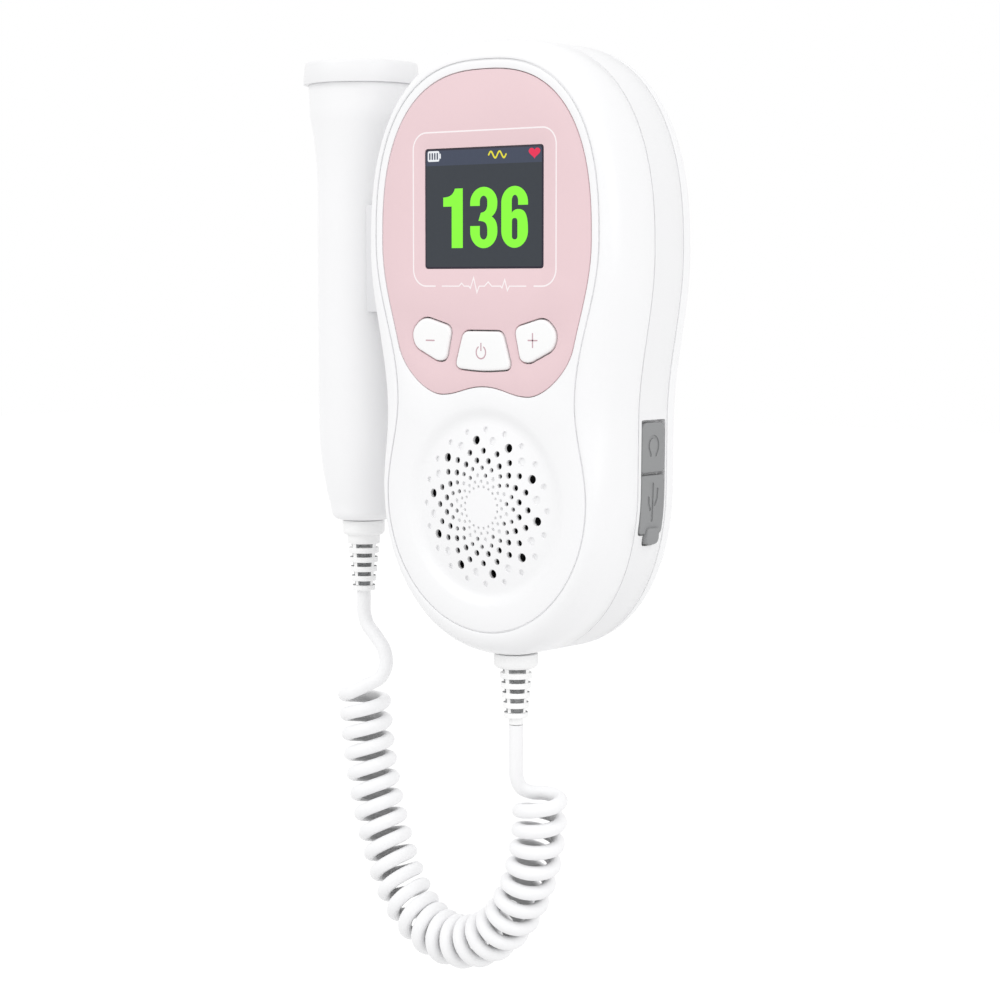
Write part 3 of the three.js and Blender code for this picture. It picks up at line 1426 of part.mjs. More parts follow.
for (const key of keys) {
  handset.add(
    finished(`button_${key.name}`, keyCap(key), WHITE, 0.3),
    finished(`switch_plunger_${key.name}`, plunger(key), DARK, 0.4),
    finished(`tact_switch_${key.name}`, tactSwitch(key), STEEL, 0.4, 0.8),
  );
}
const casePlaces = [
  ['upper_left', topPosts[0]],
  ['upper_right', topPosts[1]],
  ['lower_left', lowerPosts[0]],
  ['lower_right', lowerPosts[1]],
];
for (const [place, [x, z]] of casePlaces) {
  handset.add(finished(`case_screw_${place}`, screw(x, z, screwHeadFront, SCREW_LENGTH), STEEL, 0.3, 1));
}
for (const [place, [x, z]] of [['left', boardPosts[0]], ['right', boardPosts[1]]]) {
  const solid = screw(x, z, boardBack + SEAT_GAP, BOARD_SCREW_LENGTH);
  handset.add(finished(`board_screw_${place}`, solid, STEEL, 0.3, 1));
}

const probe = new THREE.Group();
probe.position.set(probeX, PROBE_DEPTH - BODY_DEPTH, 0);
probe.add(
  finished('probe_handle', probeHandle(), WHITE, 0.35),
  finished('probe_head', probeHead(), SOFT_WHITE, 0.35),
  finished('probe_lens', lens(), SOFT_WHITE, 0.2),
  finished('crystal_transmit', crystal(-1), CERAMIC, 0.4),
  finished('crystal_receive', crystal(1), CERAMIC, 0.4),
  finished('crystal_backing', backing(), PAPER, 0.9),
  finished('probe_board', probeBoard(), BOARD_GREEN, 0.5),
  finished('cord_bushing_probe', probeBushing(), SOFT_WHITE, 0.5),
);

const monitor = new THREE.Group();
monitor.add(handset, probe);
const cord = tube(cordPoints(CURL_STEPS), CORD_DIAMETER / 2, CORD_SIDES);
monitor.add(finished('curly_cord', cord, WHITE, 0.45));

export default monitor;
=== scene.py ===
import math

import bmesh
import bpy
import numpy as np
from mathutils import Matrix, Vector
from mathutils.geometry import delaunay_2d_cdt


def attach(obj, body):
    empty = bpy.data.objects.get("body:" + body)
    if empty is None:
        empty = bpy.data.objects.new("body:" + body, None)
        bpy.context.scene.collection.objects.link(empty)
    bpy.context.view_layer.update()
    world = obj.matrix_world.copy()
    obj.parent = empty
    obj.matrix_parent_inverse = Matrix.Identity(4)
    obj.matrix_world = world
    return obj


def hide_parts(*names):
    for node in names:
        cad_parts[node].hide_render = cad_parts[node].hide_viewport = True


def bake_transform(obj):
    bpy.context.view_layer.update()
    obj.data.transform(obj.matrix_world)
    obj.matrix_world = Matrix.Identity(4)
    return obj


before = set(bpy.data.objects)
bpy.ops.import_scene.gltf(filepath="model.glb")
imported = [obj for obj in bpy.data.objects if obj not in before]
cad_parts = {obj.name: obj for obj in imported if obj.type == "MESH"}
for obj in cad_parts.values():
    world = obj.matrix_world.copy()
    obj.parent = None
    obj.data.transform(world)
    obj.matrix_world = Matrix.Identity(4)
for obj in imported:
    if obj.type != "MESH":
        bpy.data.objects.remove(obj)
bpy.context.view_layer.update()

# The casing is three mouldings in glossy white plastic: a front shell, a mid frame in a
# slightly greyer white and a rear shell. They meet in two fine parting lines, and the mid
# frame carries a small tongue behind each line, so the inside stays hidden.
MM = 0.001
BODY_DEPTH = 35
SHELL = {
    "top": 72.5, "upper": 22.67, "waist": -17.3, "lower": -31.28, "bottom": -73.6,
    "upper_half": 38.5, "waist_half": 34.1, "lower_half": 34, "power": 2.4, "foot_power": 2.2,
}
PANEL = {
    "top": 67.3, "upper": 25.27, "waist": -12.3, "lower": -35.28, "bottom": -67.3,
    "upper_half": 33.6, "waist_half": 26.7, "lower_half": 30, "power": 2.55, "foot_power": 2,
}
WALL = 2
PANEL_GROOVE = 0.35
FRONT_ROUNDING_DEPTH = 8
FRONT_SEAM_DEPTH = 15.5
REAR_SEAM_DEPTH = 27
SEAM_HALF_GAP = 0.15
BACK_INSET = 7.5
CROWN_STEPS = 28
FLANK_STEPS = 14
BOTTOM_STEPS = 26
ROUNDING_STEPS = 14
LIP_ROUND = ((0, 0.16), (0.05, 0.05), (0.16, 0))
TONGUE_INSET = 0.55
TONGUE_REACH = 1
TONGUE_SLACK = 0.1
TONGUE_END_GAP = 0.4
LEDGE_WIDTH = 2.2
LEDGE_FRONT = 2.9
LEDGE_BACK = 4.4
SHARP_ANGLE = math.radians(38)
CASING_WHITE = "f8f8f9"
FRAME_WHITE = "f3f3f4"


def grown(form, by):
    """The same outline with its edge moved outwards."""
    change = {"top": by, "bottom": -by, "upper_half": by, "waist_half": by, "lower_half": by}
    return {key: value + change.get(key, 0) for key, value in form.items()}


def between(first, second, share):
    """The outline that lies a share of the way from one to the other."""
    return {key: first[key] + (second[key] - first[key]) * share for key in first}


def eased(first, second, share):
    """A number that leaves the first and reaches the second without a corner."""
    return first + (second - first) * (1 - math.cos(math.pi * share)) / 2


def half_width(form, z):
    """Half the width of an outline at a height."""
    if z > form["upper"]:
        rise = (z - form["upper"]) / (form["top"] - form["upper"])
        return form["upper_half"] * max(1 - rise ** form["power"], 0) ** (1 / form["power"])
    if z > form["waist"]:
        share = (form["upper"] - z) / (form["upper"] - form["waist"])
        return eased(form["upper_half"], form["waist_half"], share)
    if z > form["lower"]:
        share = (form["waist"] - z) / (form["waist"] - form["lower"])
        return eased(form["waist_half"], form["lower_half"], share)
    drop = (form["lower"] - z) / (form["lower"] - form["bottom"])
    return form["lower_half"] * max(1 - drop ** form["foot_power"], 0) ** (1 / form["foot_power"])


def mirrored(points):
    """The same points at the other side of the upright middle line, in the opposite order."""
    return [Vector((-point.x, point.y)) for point in reversed(points)]


def outline(form):
    """The closed outline, from the crown down its right side and up its left one."""
    right = []
    for i in range(CROWN_STEPS):
        angle = math.pi / 2 * i / CROWN_STEPS
        x = form["upper_half"] * math.sin(angle) ** (2 / form["power"])
        rise = (form["top"] - form["upper"]) * math.cos(angle) ** (2 / form["power"])
        right.append(Vector((x, form["upper"] + rise)))
    for high, low in ((form["upper"], form["waist"]), (form["waist"], form["lower"])):
        for i in range(FLANK_STEPS):
            z = high + (low - high) * i / FLANK_STEPS
            right.append(Vector((half_width(form, z), z)))
    for i in range(BOTTOM_STEPS + 1):
        angle = math.pi / 2 * i / BOTTOM_STEPS
        across = math.cos(angle) ** (2 / form["foot_power"]) if i < BOTTOM_STEPS else 0
        drop = (form["lower"] - form["bottom"]) * math.sin(angle) ** (2 / form["foot_power"])
        right.append(Vector((form["lower_half"] * across, form["lower"] - drop)))
    return right + mirrored(right[1:-1])


def front(x, z, depth):
    """The place in the row frame of a point of the handset, in metres."""
    return Vector((x, depth - BODY_DEPTH, z)) * MM


def surfaced(mesh, material):
    """Gives a mesh one material and a smooth skin that keeps its sharp edges."""
    mesh.materials.clear()
    mesh.materials.append(material)
    mesh.shade_smooth()
    mesh.set_sharp_from_angle(angle=SHARP_ANGLE)


def piece_of(name, mesh, material):
    """A piece made of a mesh."""
    surfaced(mesh, material)
    piece = bpy.data.objects.new(name, mesh)
    bpy.context.scene.collection.objects.link(piece)
    return piece


def finished(name, shape, material):
    """A piece made of a shape that was still worked on."""
    mesh = bpy.data.meshes.new(name)
    shape.to_mesh(mesh)
    shape.free()
    return piece_of(name, mesh, material)


def lofted(name, rows, material, looped=False):
    """A skin through rings of points. Looped rings join last to first, others get flat ends."""
    shape = bmesh.new()
    rings = [[shape.verts.new(point) for point in row] for row in rows]
    pairs = list(zip(rings, rings[1:]))
    if looped:
        pairs.append((rings[-1], rings[0]))
    else:
        shape.faces.new(rings[0])
        shape.faces.new(rings[-1])
    for first, second in pairs:
        for i in range(len(first)):
            shape.faces.new((first[i], first[i - 1], second[i - 1], second[i]))
    bmesh.ops.recalc_face_normals(shape, faces=shape.faces)
    return finished(name, shape, material)


def casing_rows(steps):
    """Rings of the casing from (outline, depth) pairs."""
    return [[front(*point, depth) for point in outline(form)] for form, depth in steps]


def lip_rows(edge, way):
    """The (outline, depth) pairs of the rounded lip that a moulding has at a parting line."""
    return [(grown(SHELL, -side), edge + way * depth) for side, depth in LIP_ROUND]


def paint(code):
    """A colour in linear light from its six hexadecimal digits."""
    parts = [int(code[i:i + 2], 16) / 255 for i in (0, 2, 4)]
    return [*(p / 12.92 if p < 0.04 else ((p + 0.055) / 1.055) ** 2.4 for p in parts), 1]


def new_group(name, inputs):
    """A shader node group for the skin of a material, with what goes in and what comes out."""
    group = bpy.data.node_groups.new(name, "ShaderNodeTree")
    for label, value in inputs.items():
        kind = "NodeSocketColor" if isinstance(value, list) else "NodeSocketFloat"
        socket = group.interface.new_socket(label, in_out="INPUT", socket_type=kind)
        socket.default_value = value
    group.interface.new_socket("Colour", in_out="OUTPUT", socket_type="NodeSocketColor")
    group.interface.new_socket("Roughness", in_out="OUTPUT", socket_type="NodeSocketFloat")
    group.interface.new_socket("Height", in_out="OUTPUT", socket_type="NodeSocketFloat")
    given = group.nodes.new("NodeGroupInput")
    return group, given.outputs, group.nodes.new("NodeGroupOutput").inputs


def linked(tree, kind, inputs=None, **settings):
    """A node with its settings, whose inputs are given as values or as other sockets."""
    node = tree.nodes.new(kind)
    for key, value in settings.items():
        setattr(node, key, value)
    for key, value in (inputs or {}).items():
        if isinstance(value, bpy.types.NodeSocket):
            tree.links.new(value, node.inputs[key])
        else:
            node.inputs[key].default_value = value
    return node


def reckoned(tree, operation, *values):
    """The outcome of a sum on numbers or other sockets."""
    return linked(tree, "ShaderNodeMath", dict(enumerate(values)), operation=operation).outputs[0]


def scaled(tree, colour, by):
    """A colour made lighter or darker."""
    values = {0: colour, "Scale": by}
    return linked(tree, "ShaderNodeVectorMath", values, operation="SCALE").outputs[0]


def clouds(tree, place, scale, detail):
    """A soft uneven pattern between 0 and 1."""
    values = {"Vector": place, "Scale": scale, "Detail": detail}
    return linked(tree, "ShaderNodeTexNoise", values).outputs["Fac"]


def group_end(group, result, colour, roughness, height):
    """Closes a group with the three things that a skin puts out."""
    for label, socket in (("Colour", colour), ("Roughness", roughness), ("Height", height)):
        group.links.new(socket, result[label])
    return group


def moulding_group():
    """The skin of a moulded part: a faint flow shade, an uneven gloss and a fine grain."""
    group, given, result = new_group(
        "Moulded skin",
        {"Colour": [1, 1, 1, 1], "Shade": 0.02, "Roughness": 0.4, "Spread": 0.05, "Grain": 2500},
    )
    place = linked(group, "ShaderNodeTexCoord").outputs["Object"]
    flow = clouds(group, place, 35, 3)
    lower = reckoned(group, "SUBTRACT", 1, given["Shade"])
    shade = linked(
        group, "ShaderNodeMapRange",
        {"Value": flow, "From Min": 0.3, "From Max": 0.7, "To Min": lower},
    )
    tint = scaled(group, given["Colour"], shade.outputs["Result"])
    swing = reckoned(group, "SUBTRACT", clouds(group, place, 160, 4), 0.5)
    gloss = reckoned(group, "MULTIPLY_ADD", swing, given["Spread"], given["Roughness"])
    return group_end(group, result, tint, gloss, clouds(group, place, given["Grain"], 2))


MOULDED_SKIN = moulding_group()


def coated(name, group, values, bump, **sockets):
    """A material whose colour, roughness and relief come from a group, and the rest is plain."""
    material = bpy.data.materials.new(name)
    material.use_nodes = True
    tree = material.node_tree
    shader = tree.nodes["Principled BSDF"]
    skin = linked(tree, "ShaderNodeGroup", node_tree=group)
    for key, value in values.items():
        skin.inputs[key].default_value = value
    tree.links.new(skin.outputs["Colour"], shader.inputs["Base Color"])
    tree.links.new(skin.outputs["Roughness"], shader.inputs["Roughness"])
    relief = linked(
        tree, "ShaderNodeBump",
        {"Height": skin.outputs["Height"], "Strength": bump, "Distance": 0.0002},
    )
    tree.links.new(relief.outputs["Normal"], shader.inputs["Normal"])
    for key, value in sockets.items():
        shader.inputs[key.replace("_", " ")].default_value = value
    return material


def moulded(name, code, roughness, shade=0.015, grain=2500, bump=0.03, **sockets):
    """A moulded plastic or rubber of one colour."""
    values = {"Colour": paint(code), "Shade": shade, "Roughness": roughness, "Grain": grain}
    return coated(name, MOULDED_SKIN, values, bump, **sockets)


def dressed(piece, body, slot, *nodes):
    """Puts a piece on its body and hides the solids that it stands for. The slot, its finish, is
    not used.
    """
    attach(piece, body)
    if nodes:
        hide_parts(*nodes)
    return piece


casing_white = moulded("casing white", CASING_WHITE, 0.32, Specular_IOR_Level=0.45)
frame_white = moulded("frame white", FRAME_WHITE, 0.38, Specular_IOR_Level=0.4)
opening = grown(PANEL, PANEL_GROOVE)
ledge = grown(PANEL, -LEDGE_WIDTH)
inside = grown(SHELL, -WALL)
rebate = grown(SHELL, TONGUE_SLACK - TONGUE_INSET)
front_edge = FRONT_SEAM_DEPTH - SEAM_HALF_GAP
front_rows = [(grown(opening, side), depth) for side, depth in LIP_ROUND]
rounded_start = grown(opening, LIP_ROUND[-1][0])
for step in range(1, ROUNDING_STEPS + 1):
    angle = math.pi / 2 * step / ROUNDING_STEPS
    form = between(rounded_start, SHELL, math.sin(angle))
    front_rows.append((form, FRONT_ROUNDING_DEPTH * (1 - math.cos(angle))))
front_rows += lip_rows(front_edge, -1)
front_rows += [
    (rebate, front_edge),
    (rebate, front_edge - TONGUE_REACH),
    (inside, front_edge - TONGUE_REACH),
    (inside, FRONT_ROUNDING_DEPTH),
    (between(ledge, inside, 0.5), LEDGE_BACK),
    (ledge, LEDGE_BACK),
    (ledge, LEDGE_FRONT),
    (opening, LEDGE_FRONT),
]
front_shell = lofted("front_shell_skin", casing_rows(front_rows), casing_white, looped=True)
dressed(front_shell, "handset", "white_shell", "front_shell")

# The rear shell is the same plastic. Four wells in its flat back lead down to the screws
# that hold the case together, and its edge runs round into the side in one curve.
WELL_RADIUS = 2.7
WELL_FLOOR = 14.5
WELL_CHAMFER = 0.3
TOWER_RADIUS = 3.9
BACK_MIDDLE_INSET = 6
WELL_PLACES = ((-18.72, 54.82), (18.72, 54.82), (-20.79, -48.92), (20.79, -48.92))


def turned(shape, profile, place, sides=32, closed=False):
    """A turned form from (radius, way along the axis) pairs; a radius of nought is a pole."""
    rings = []
    for radius, way in profile:
        count = sides if radius else 1
        turns = [math.tau * k / sides for k in range(count)]
        points = [place(radius * math.cos(t), radius * math.sin(t), way) for t in turns]
        rings.append([shape.verts.new(point) for point in points])
    for first, second in list(zip(rings, rings[1:])) + ([(rings[-1], rings[0])] if closed else []):
        for k in range(sides):
            ring = [first[k % len(first)], first[(k + 1) % len(first)]]
            ring += [second[(k + 1) % len(second)], second[k % len(second)]]
            corners = list(dict.fromkeys(ring))
            if len(corners) > 2:
                shape.faces.new(corners)
    bmesh.ops.recalc_face_normals(shape, faces=shape.faces)
    return shape


def geometry_tree(name, inputs):
    """A Geometry Nodes tree, with what goes in and what comes out."""
    tree = bpy.data.node_groups.new(name, "GeometryNodeTree")
    tree.interface.new_socket("Geometry", in_out="INPUT", socket_type="NodeSocketGeometry")
    for label, kind, value in inputs:
        socket = tree.interface.new_socket(label, in_out="INPUT", socket_type=kind)
        if value is not None:
            socket.default_value = value
    tree.interface.new_socket("Geometry", in_out="OUTPUT", socket_type="NodeSocketGeometry")
    given = tree.nodes.new("NodeGroupInput")
    return tree, given.outputs, tree.nodes.new("NodeGroupOutput").inputs


def closing(tree, instances, given, result, move=None):
    """The end of a tree: real geometry, moved where the tree asks for it, in its material."""
    real = linked(tree, "GeometryNodeRealizeInstances", {"Geometry": instances}).outputs[0]
    if move is not None:
        values = {"Geometry": real, "Offset": move}
        real = linked(tree, "GeometryNodeSetPosition", values).outputs[0]
    values = {"Geometry": real, "Material": given["Material"]}
    tree.links.new(linked(tree, "GeometryNodeSetMaterial", values).outputs[0], result["Geometry"])
    return tree


def copies_on(tree, points, shape):
    """A copy of a shape on each point."""
    values = {"Points": points, "Instance": shape}
    return linked(tree, "GeometryNodeInstanceOnPoints", values).outputs["Instances"]


def places_tree():
    """Puts the given shape on every vertex of another object."""
    tree, given, result = geometry_tree(
        "Shape on places",
        [("Places", "NodeSocketObject", None), ("Material", "NodeSocketMaterial", None)],
    )
    places = linked(tree, "GeometryNodeObjectInfo", {"Object": given["Places"]})
    copies = copies_on(tree, places.outputs["Geometry"], given["Geometry"])
    return closing(tree, copies, given, result)


def worked_out(piece):
    """The plain mesh that a piece's modifiers make of it."""
    graph = bpy.context.evaluated_depsgraph_get()
    return bpy.data.meshes.new_from_object(piece.evaluated_get(graph))


def grown_from(tree, name, shape, values):
    """The plain mesh piece that a node tree makes of a shape."""
    carrier = finished("carrier", shape, values["Material"])
    modifier = carrier.modifiers.new("nodes", "NODES")
    modifier.node_group = tree
    for item in tree.interface.items_tree:
        if item.in_out == "INPUT" and item.name in values:
            modifier[item.identifier] = values[item.name]
    mesh = worked_out(carrier)
    bpy.data.objects.remove(carrier)
    mesh.name = name
    return piece_of(name, mesh, values["Material"])


def joined_by(piece, tool, operation="DIFFERENCE"):
    """Cuts a tool shape out of a piece, or adds it, and leaves a plain mesh."""
    modifier = piece.modifiers.new("cut", "BOOLEAN")
    modifier.operation = operation
    modifier.solver = "EXACT"
    modifier.object = tool
    material = piece.data.materials[0]
    mesh = worked_out(piece)
    piece.modifiers.clear()
    piece.data = mesh
    mesh.polygons.foreach_set("material_index", [0] * len(mesh.polygons))
    surfaced(mesh, material)
    bpy.data.objects.remove(tool)
    return piece


rear_edge = REAR_SEAM_DEPTH + SEAM_HALF_GAP
back = grown(SHELL, -BACK_INSET)
rear_rows = [(grown(back, -BACK_MIDDLE_INSET), BODY_DEPTH)]
for step in range(ROUNDING_STEPS + 1):
    angle = math.pi / 2 * step / ROUNDING_STEPS
    form = between(back, SHELL, math.sin(angle))
    rear_rows.append((form, rear_edge + 0.2 + (BODY_DEPTH - rear_edge - 0.2) * math.cos(angle)))
rear_rows += lip_rows(rear_edge, 1)
rear_rows += [
    (rebate, rear_edge),
    (rebate, rear_edge + TONGUE_REACH),
    (inside, rear_edge + TONGUE_REACH),
]
for step in range(1, ROUNDING_STEPS // 2 + 1):
    angle = math.pi / 2 * (1 - 2 * step / ROUNDING_STEPS)
    form = between(grown(back, -WALL / 2), inside, math.sin(angle))
    reach = (BODY_DEPTH - WALL - rear_edge - TONGUE_REACH) * math.cos(angle)
    rear_rows.append((form, rear_edge + TONGUE_REACH + reach))
rear_shell = lofted("rear_shell_skin", casing_rows(rear_rows), casing_white)

well_places = bpy.data.meshes.new("well places")
well_places.from_pydata([front(x, z, 0) for x, z in WELL_PLACES], [], [])
well_points = bpy.data.objects.new("well places", well_places)
bpy.context.scene.collection.objects.link(well_points)
on_places = places_tree()


def round_back(x, z, depth):
    """A turned form about an axis that runs straight back, before it is put in its place."""
    return Vector((x, depth, z)) * MM


tower_profile = [
    (0, WELL_FLOOR - 3), (TOWER_RADIUS, WELL_FLOOR - 3), (TOWER_RADIUS, BODY_DEPTH - 1),
    (0, BODY_DEPTH - 1),
]
mouth_radius = WELL_RADIUS + WELL_CHAMFER
well_profile = [
    (0, WELL_FLOOR), (WELL_RADIUS, WELL_FLOOR), (WELL_RADIUS, BODY_DEPTH - WELL_CHAMFER),
    (mouth_radius, BODY_DEPTH), (mouth_radius, BODY_DEPTH + 2), (0, BODY_DEPTH + 2),
]
for profile, operation in ((tower_profile, "UNION"), (well_profile, "DIFFERENCE")):
    tool = grown_from(
        on_places, "tool", turned(bmesh.new(), profile, round_back, sides=48),
        {"Places": well_points, "Material": casing_white},
    )
    joined_by(rear_shell, tool, operation)
dressed(rear_shell, "handset", "white_shell", "rear_shell")

# The mid frame is a band of slightly greyer plastic between the two shells. Its right side is
# thicker where the sockets come through, and has a recess there that the rubber flaps lie in.
FLAP_TOP = -17.1
FLAP_SPLIT = -29.22
FLAP_FOOT = -43.4
TAB_FOOT = -46.02
FLAP_FRONT = 16.9
FLAP_BACK = 25.9
FLAP_MIDDLE = 21.25
TAB_FRONT = FLAP_FRONT + 2.3
TAB_BACK = FLAP_BACK - 1.8
FLAP_THICK = 1.8
FLAP_MARGIN = 0.3
SWING_MARGIN = 0.62
PAD_FRONT = 15.9
PAD_BACK = 26.6
PAD_SINK = 0.8
PAD_STEPS = 24
PORT_FLOOR = 29
JACK_HEIGHT = (FLAP_TOP + FLAP_SPLIT) / 2
JACK_HOLE_RADIUS = 3
USB_HEIGHT = -36.07
USB_HOLE_HALF = (1.8, 4.3)
RECESS_CORNER = 1.2
HINGE_CORNER = 0.6
OUTSIDE = -2
FINE_EDGE = 0.8


def neighbours(loop):
    """Each point of a loop with the one before it and the one after it."""
    return zip(loop[-1:] + loop[:-1], loop, loop[1:] + loop[:1])


def shifted(loop, by):
    """A flat loop with its edges moved outwards."""
    if not by:
        return list(loop)
    area = sum(a.x * b.y - b.x * a.y for a, b, _ in neighbours(loop))
    turn = 1 if area > 0 else -1
    moved = []
    for before, here, after in neighbours(loop):
        first = (here - before).normalized()
        second = (after - here).normalized()
        out_first = Vector((first.y, -first.x)) * turn
        out_second = Vector((second.y, -second.x)) * turn
        way = (out_first + out_second) * by / (1 + out_first.dot(out_second))
        moved.append(here + way)
    return moved


def refined(loop, step):
    """The loop with points added, so that no edge is longer than the step."""
    points = []
    for _, here, after in neighbours(loop):
        count = max(1, math.ceil((after - here).length / step))
        points += [here.lerp(after, i / count) for i in range(count)]
    return points


def rounded(corners, way, steps=8):
    """A polygon whose corners become curves that start a set way before them."""
    corners = [Vector(corner) for corner in corners]
    ways = way if isinstance(way, (list, tuple)) else [way] * len(corners)
    points = []
    for (before, here, after), reach in zip(neighbours(corners), ways):
        reach = min(reach, (before - here).length / 2, (after - here).length / 2)
        start = here + (before - here).normalized() * reach
        end = here + (after - here).normalized() * reach
        for i in range(steps + 1):
            t = i / steps
            points.append(start * (1 - t) ** 2 + here * (2 * t * (1 - t)) + end * t ** 2)
    return [point for before, point, _ in neighbours(points) if (point - before).length > 0.001]


def ring_of(shape, loop, place, level):
    """A loop with the corners that stand for it in the mesh."""
    return loop, [shape.verts.new(place(*point, level)) for point in loop]


def walled(shape, rings):
    """The walls from each ring to the next."""
    for (_, first), (_, second) in zip(rings, rings[1:]):
        for i in range(len(first)):
            shape.faces.new((first[i - 1], first[i], second[i], second[i - 1]))


def filled(shape, rings, place=None, level=0, spots=()):
    """The flat skin inside the first ring and outside the others."""
    points = [point for loop, _ in rings for point in loop]
    corners = [corner for _, ring in rings for corner in ring]
    edges = []
    for loop, _ in rings:
        start = len(edges)
        edges += [(start + i, start + (i + 1) % len(loop)) for i in range(len(loop))]
    points += spots
    corners += [shape.verts.new(place(*spot, level)) for spot in spots]
    _, lines, faces, sources, origins, _ = delaunay_2d_cdt(points, edges, [], 0, 1e-6)
    borders = {frozenset(line) for line, origin in zip(lines, origins) if origin}
    sides_of = {}
    for k, face in enumerate(faces):
        for i, corner in enumerate(face):
            sides_of.setdefault(frozenset((face[i - 1], corner)), []).append(k)
    kept = {near[0]: edge in borders for edge, near in sides_of.items() if len(near) == 1}
    waiting = list(kept)
    while waiting:
        k = waiting.pop()
        for i, corner in enumerate(faces[k]):
            edge = frozenset((faces[k][i - 1], corner))
            for other in sides_of[edge]:
                if other not in kept:
                    kept[other] = kept[k] != (edge in borders)
                    waiting.append(other)
    for k, face in enumerate(faces):
        if kept[k]:
            shape.faces.new([corners[sources[i][0]] for i in face])


def add_plate(shape, place, loop, steps, openings=(), spots=()):
    """A closed plate. Steps are (outward shift, level) pairs from its front skin to its back.

    An opening has a loop and steps of its own. It goes right through, or has a floor, which is
    a list of the openings in it. Spots are more points of the front skin."""
    rings = [ring_of(shape, shifted(loop, shift), place, level) for shift, level in steps]
    through = []

    def skin(outer, level, inner, spots=()):
        mouths = []
        for hole in inner:
            made = [
                ring_of(shape, shifted(hole["loop"], shift), place, level)
                for shift, level in hole["steps"]
            ]
            mouths.append(made[0])
            walled(shape, made)
            if "floor" in hole:
                skin(made[-1], hole["steps"][-1][1], hole["floor"])
            else:
                through.append(made[-1])
        filled(shape, [outer, *mouths], place, level, spots)

    skin(rings[0], steps[0][1], openings, spots)
    walled(shape, rings)
    filled(shape, [rings[-1], *through])
    bmesh.ops.recalc_face_normals(shape, faces=shape.faces)
    return shape


def side(depth, z, level):
    """A place a set level below the right side of the casing, in metres."""
    return Vector((half_width(SHELL, z) - level, depth - BODY_DEPTH, z)) * MM


def box(low, high):
    """The corners of a rectangle."""
    return [(low[0], low[1]), (high[0], low[1]), (high[0], high[1]), (low[0], high[1])]


def straight_side(depth, z, x):
    """A place at the right of the casing from its own three numbers, in metres."""
    return front(x, z, depth)


band_front = FRONT_SEAM_DEPTH + SEAM_HALF_GAP
band_back = REAR_SEAM_DEPTH - SEAM_HALF_GAP
tongue_front = front_edge - TONGUE_REACH + TONGUE_END_GAP
tongue_back = rear_edge + TONGUE_REACH - TONGUE_END_GAP
tongue = grown(SHELL, -TONGUE_INSET)
mid_rows = lip_rows(band_front, 1)[::-1] + lip_rows(band_back, -1) + [
    (tongue, band_back),
    (tongue, tongue_back),
    (inside, tongue_back),
    (inside, tongue_front),
    (tongue, tongue_front),
    (tongue, band_front),
]
mid_frame = lofted("mid_frame_skin", casing_rows(mid_rows), frame_white, looped=True)
pad_low, pad_high = TAB_FOOT - 2, FLAP_TOP + 2
pad_loop = [Vector((PORT_FLOOR, pad_low)), Vector((PORT_FLOOR, pad_high))]
for step in range(PAD_STEPS + 1):
    z = pad_high + (pad_low - pad_high) * step / PAD_STEPS
    pad_loop.append(Vector((half_width(SHELL, z) - PAD_SINK, z)))
pad = add_plate(bmesh.new(), front, pad_loop, [(0, PAD_FRONT), (0, PAD_BACK)])
joined_by(mid_frame, finished("pad", pad, frame_white), "UNION")
recess_low = (FLAP_FRONT - FLAP_MARGIN, FLAP_FOOT - FLAP_MARGIN)
recess_high = (FLAP_BACK + FLAP_MARGIN, FLAP_TOP + SWING_MARGIN)
recess_corners = [RECESS_CORNER, RECESS_CORNER, HINGE_CORNER, HINGE_CORNER]
recess = refined(rounded(box(recess_low, recess_high), recess_corners, 6), FINE_EDGE)
tab_low = (TAB_FRONT - FLAP_MARGIN, TAB_FOOT - FLAP_MARGIN)
tab_high = (TAB_BACK + FLAP_MARGIN, FLAP_FOOT + 2)
tab_recess = refined(rounded(box(tab_low, tab_high), RECESS_CORNER, 6), FINE_EDGE)
recess_steps = [(0, OUTSIDE), (0, FLAP_THICK + FLAP_MARGIN)]
usb_low = (FLAP_MIDDLE - USB_HOLE_HALF[0], USB_HEIGHT - USB_HOLE_HALF[1])
usb_high = (FLAP_MIDDLE + USB_HOLE_HALF[0], USB_HEIGHT + USB_HOLE_HALF[1])
usb_hole = rounded(box(usb_low, usb_high), 0.6, 4)
hole_ends = (PORT_FLOOR - 2, PORT_FLOOR + 8)
jack_profile = [
    (0, hole_ends[0]), (JACK_HOLE_RADIUS, hole_ends[0]), (JACK_HOLE_RADIUS, hole_ends[1]),
    (0, hole_ends[1]),
]
cutters = [
    add_plate(bmesh.new(), side, recess, recess_steps),
    add_plate(bmesh.new(), side, tab_recess, recess_steps),
    add_plate(bmesh.new(), straight_side, usb_hole, [(0, hole_ends[1]), (0, hole_ends[0])]),
    turned(
        bmesh.new(), jack_profile,
        lambda a, b, way: straight_side(FLAP_MIDDLE + a, JACK_HEIGHT + b, way), sides=40,
    ),
]
for cutter in cutters:
    joined_by(mid_frame, finished("cutter", cutter, frame_white))
dressed(mid_frame, "handset", "white_frame", "mid_frame")

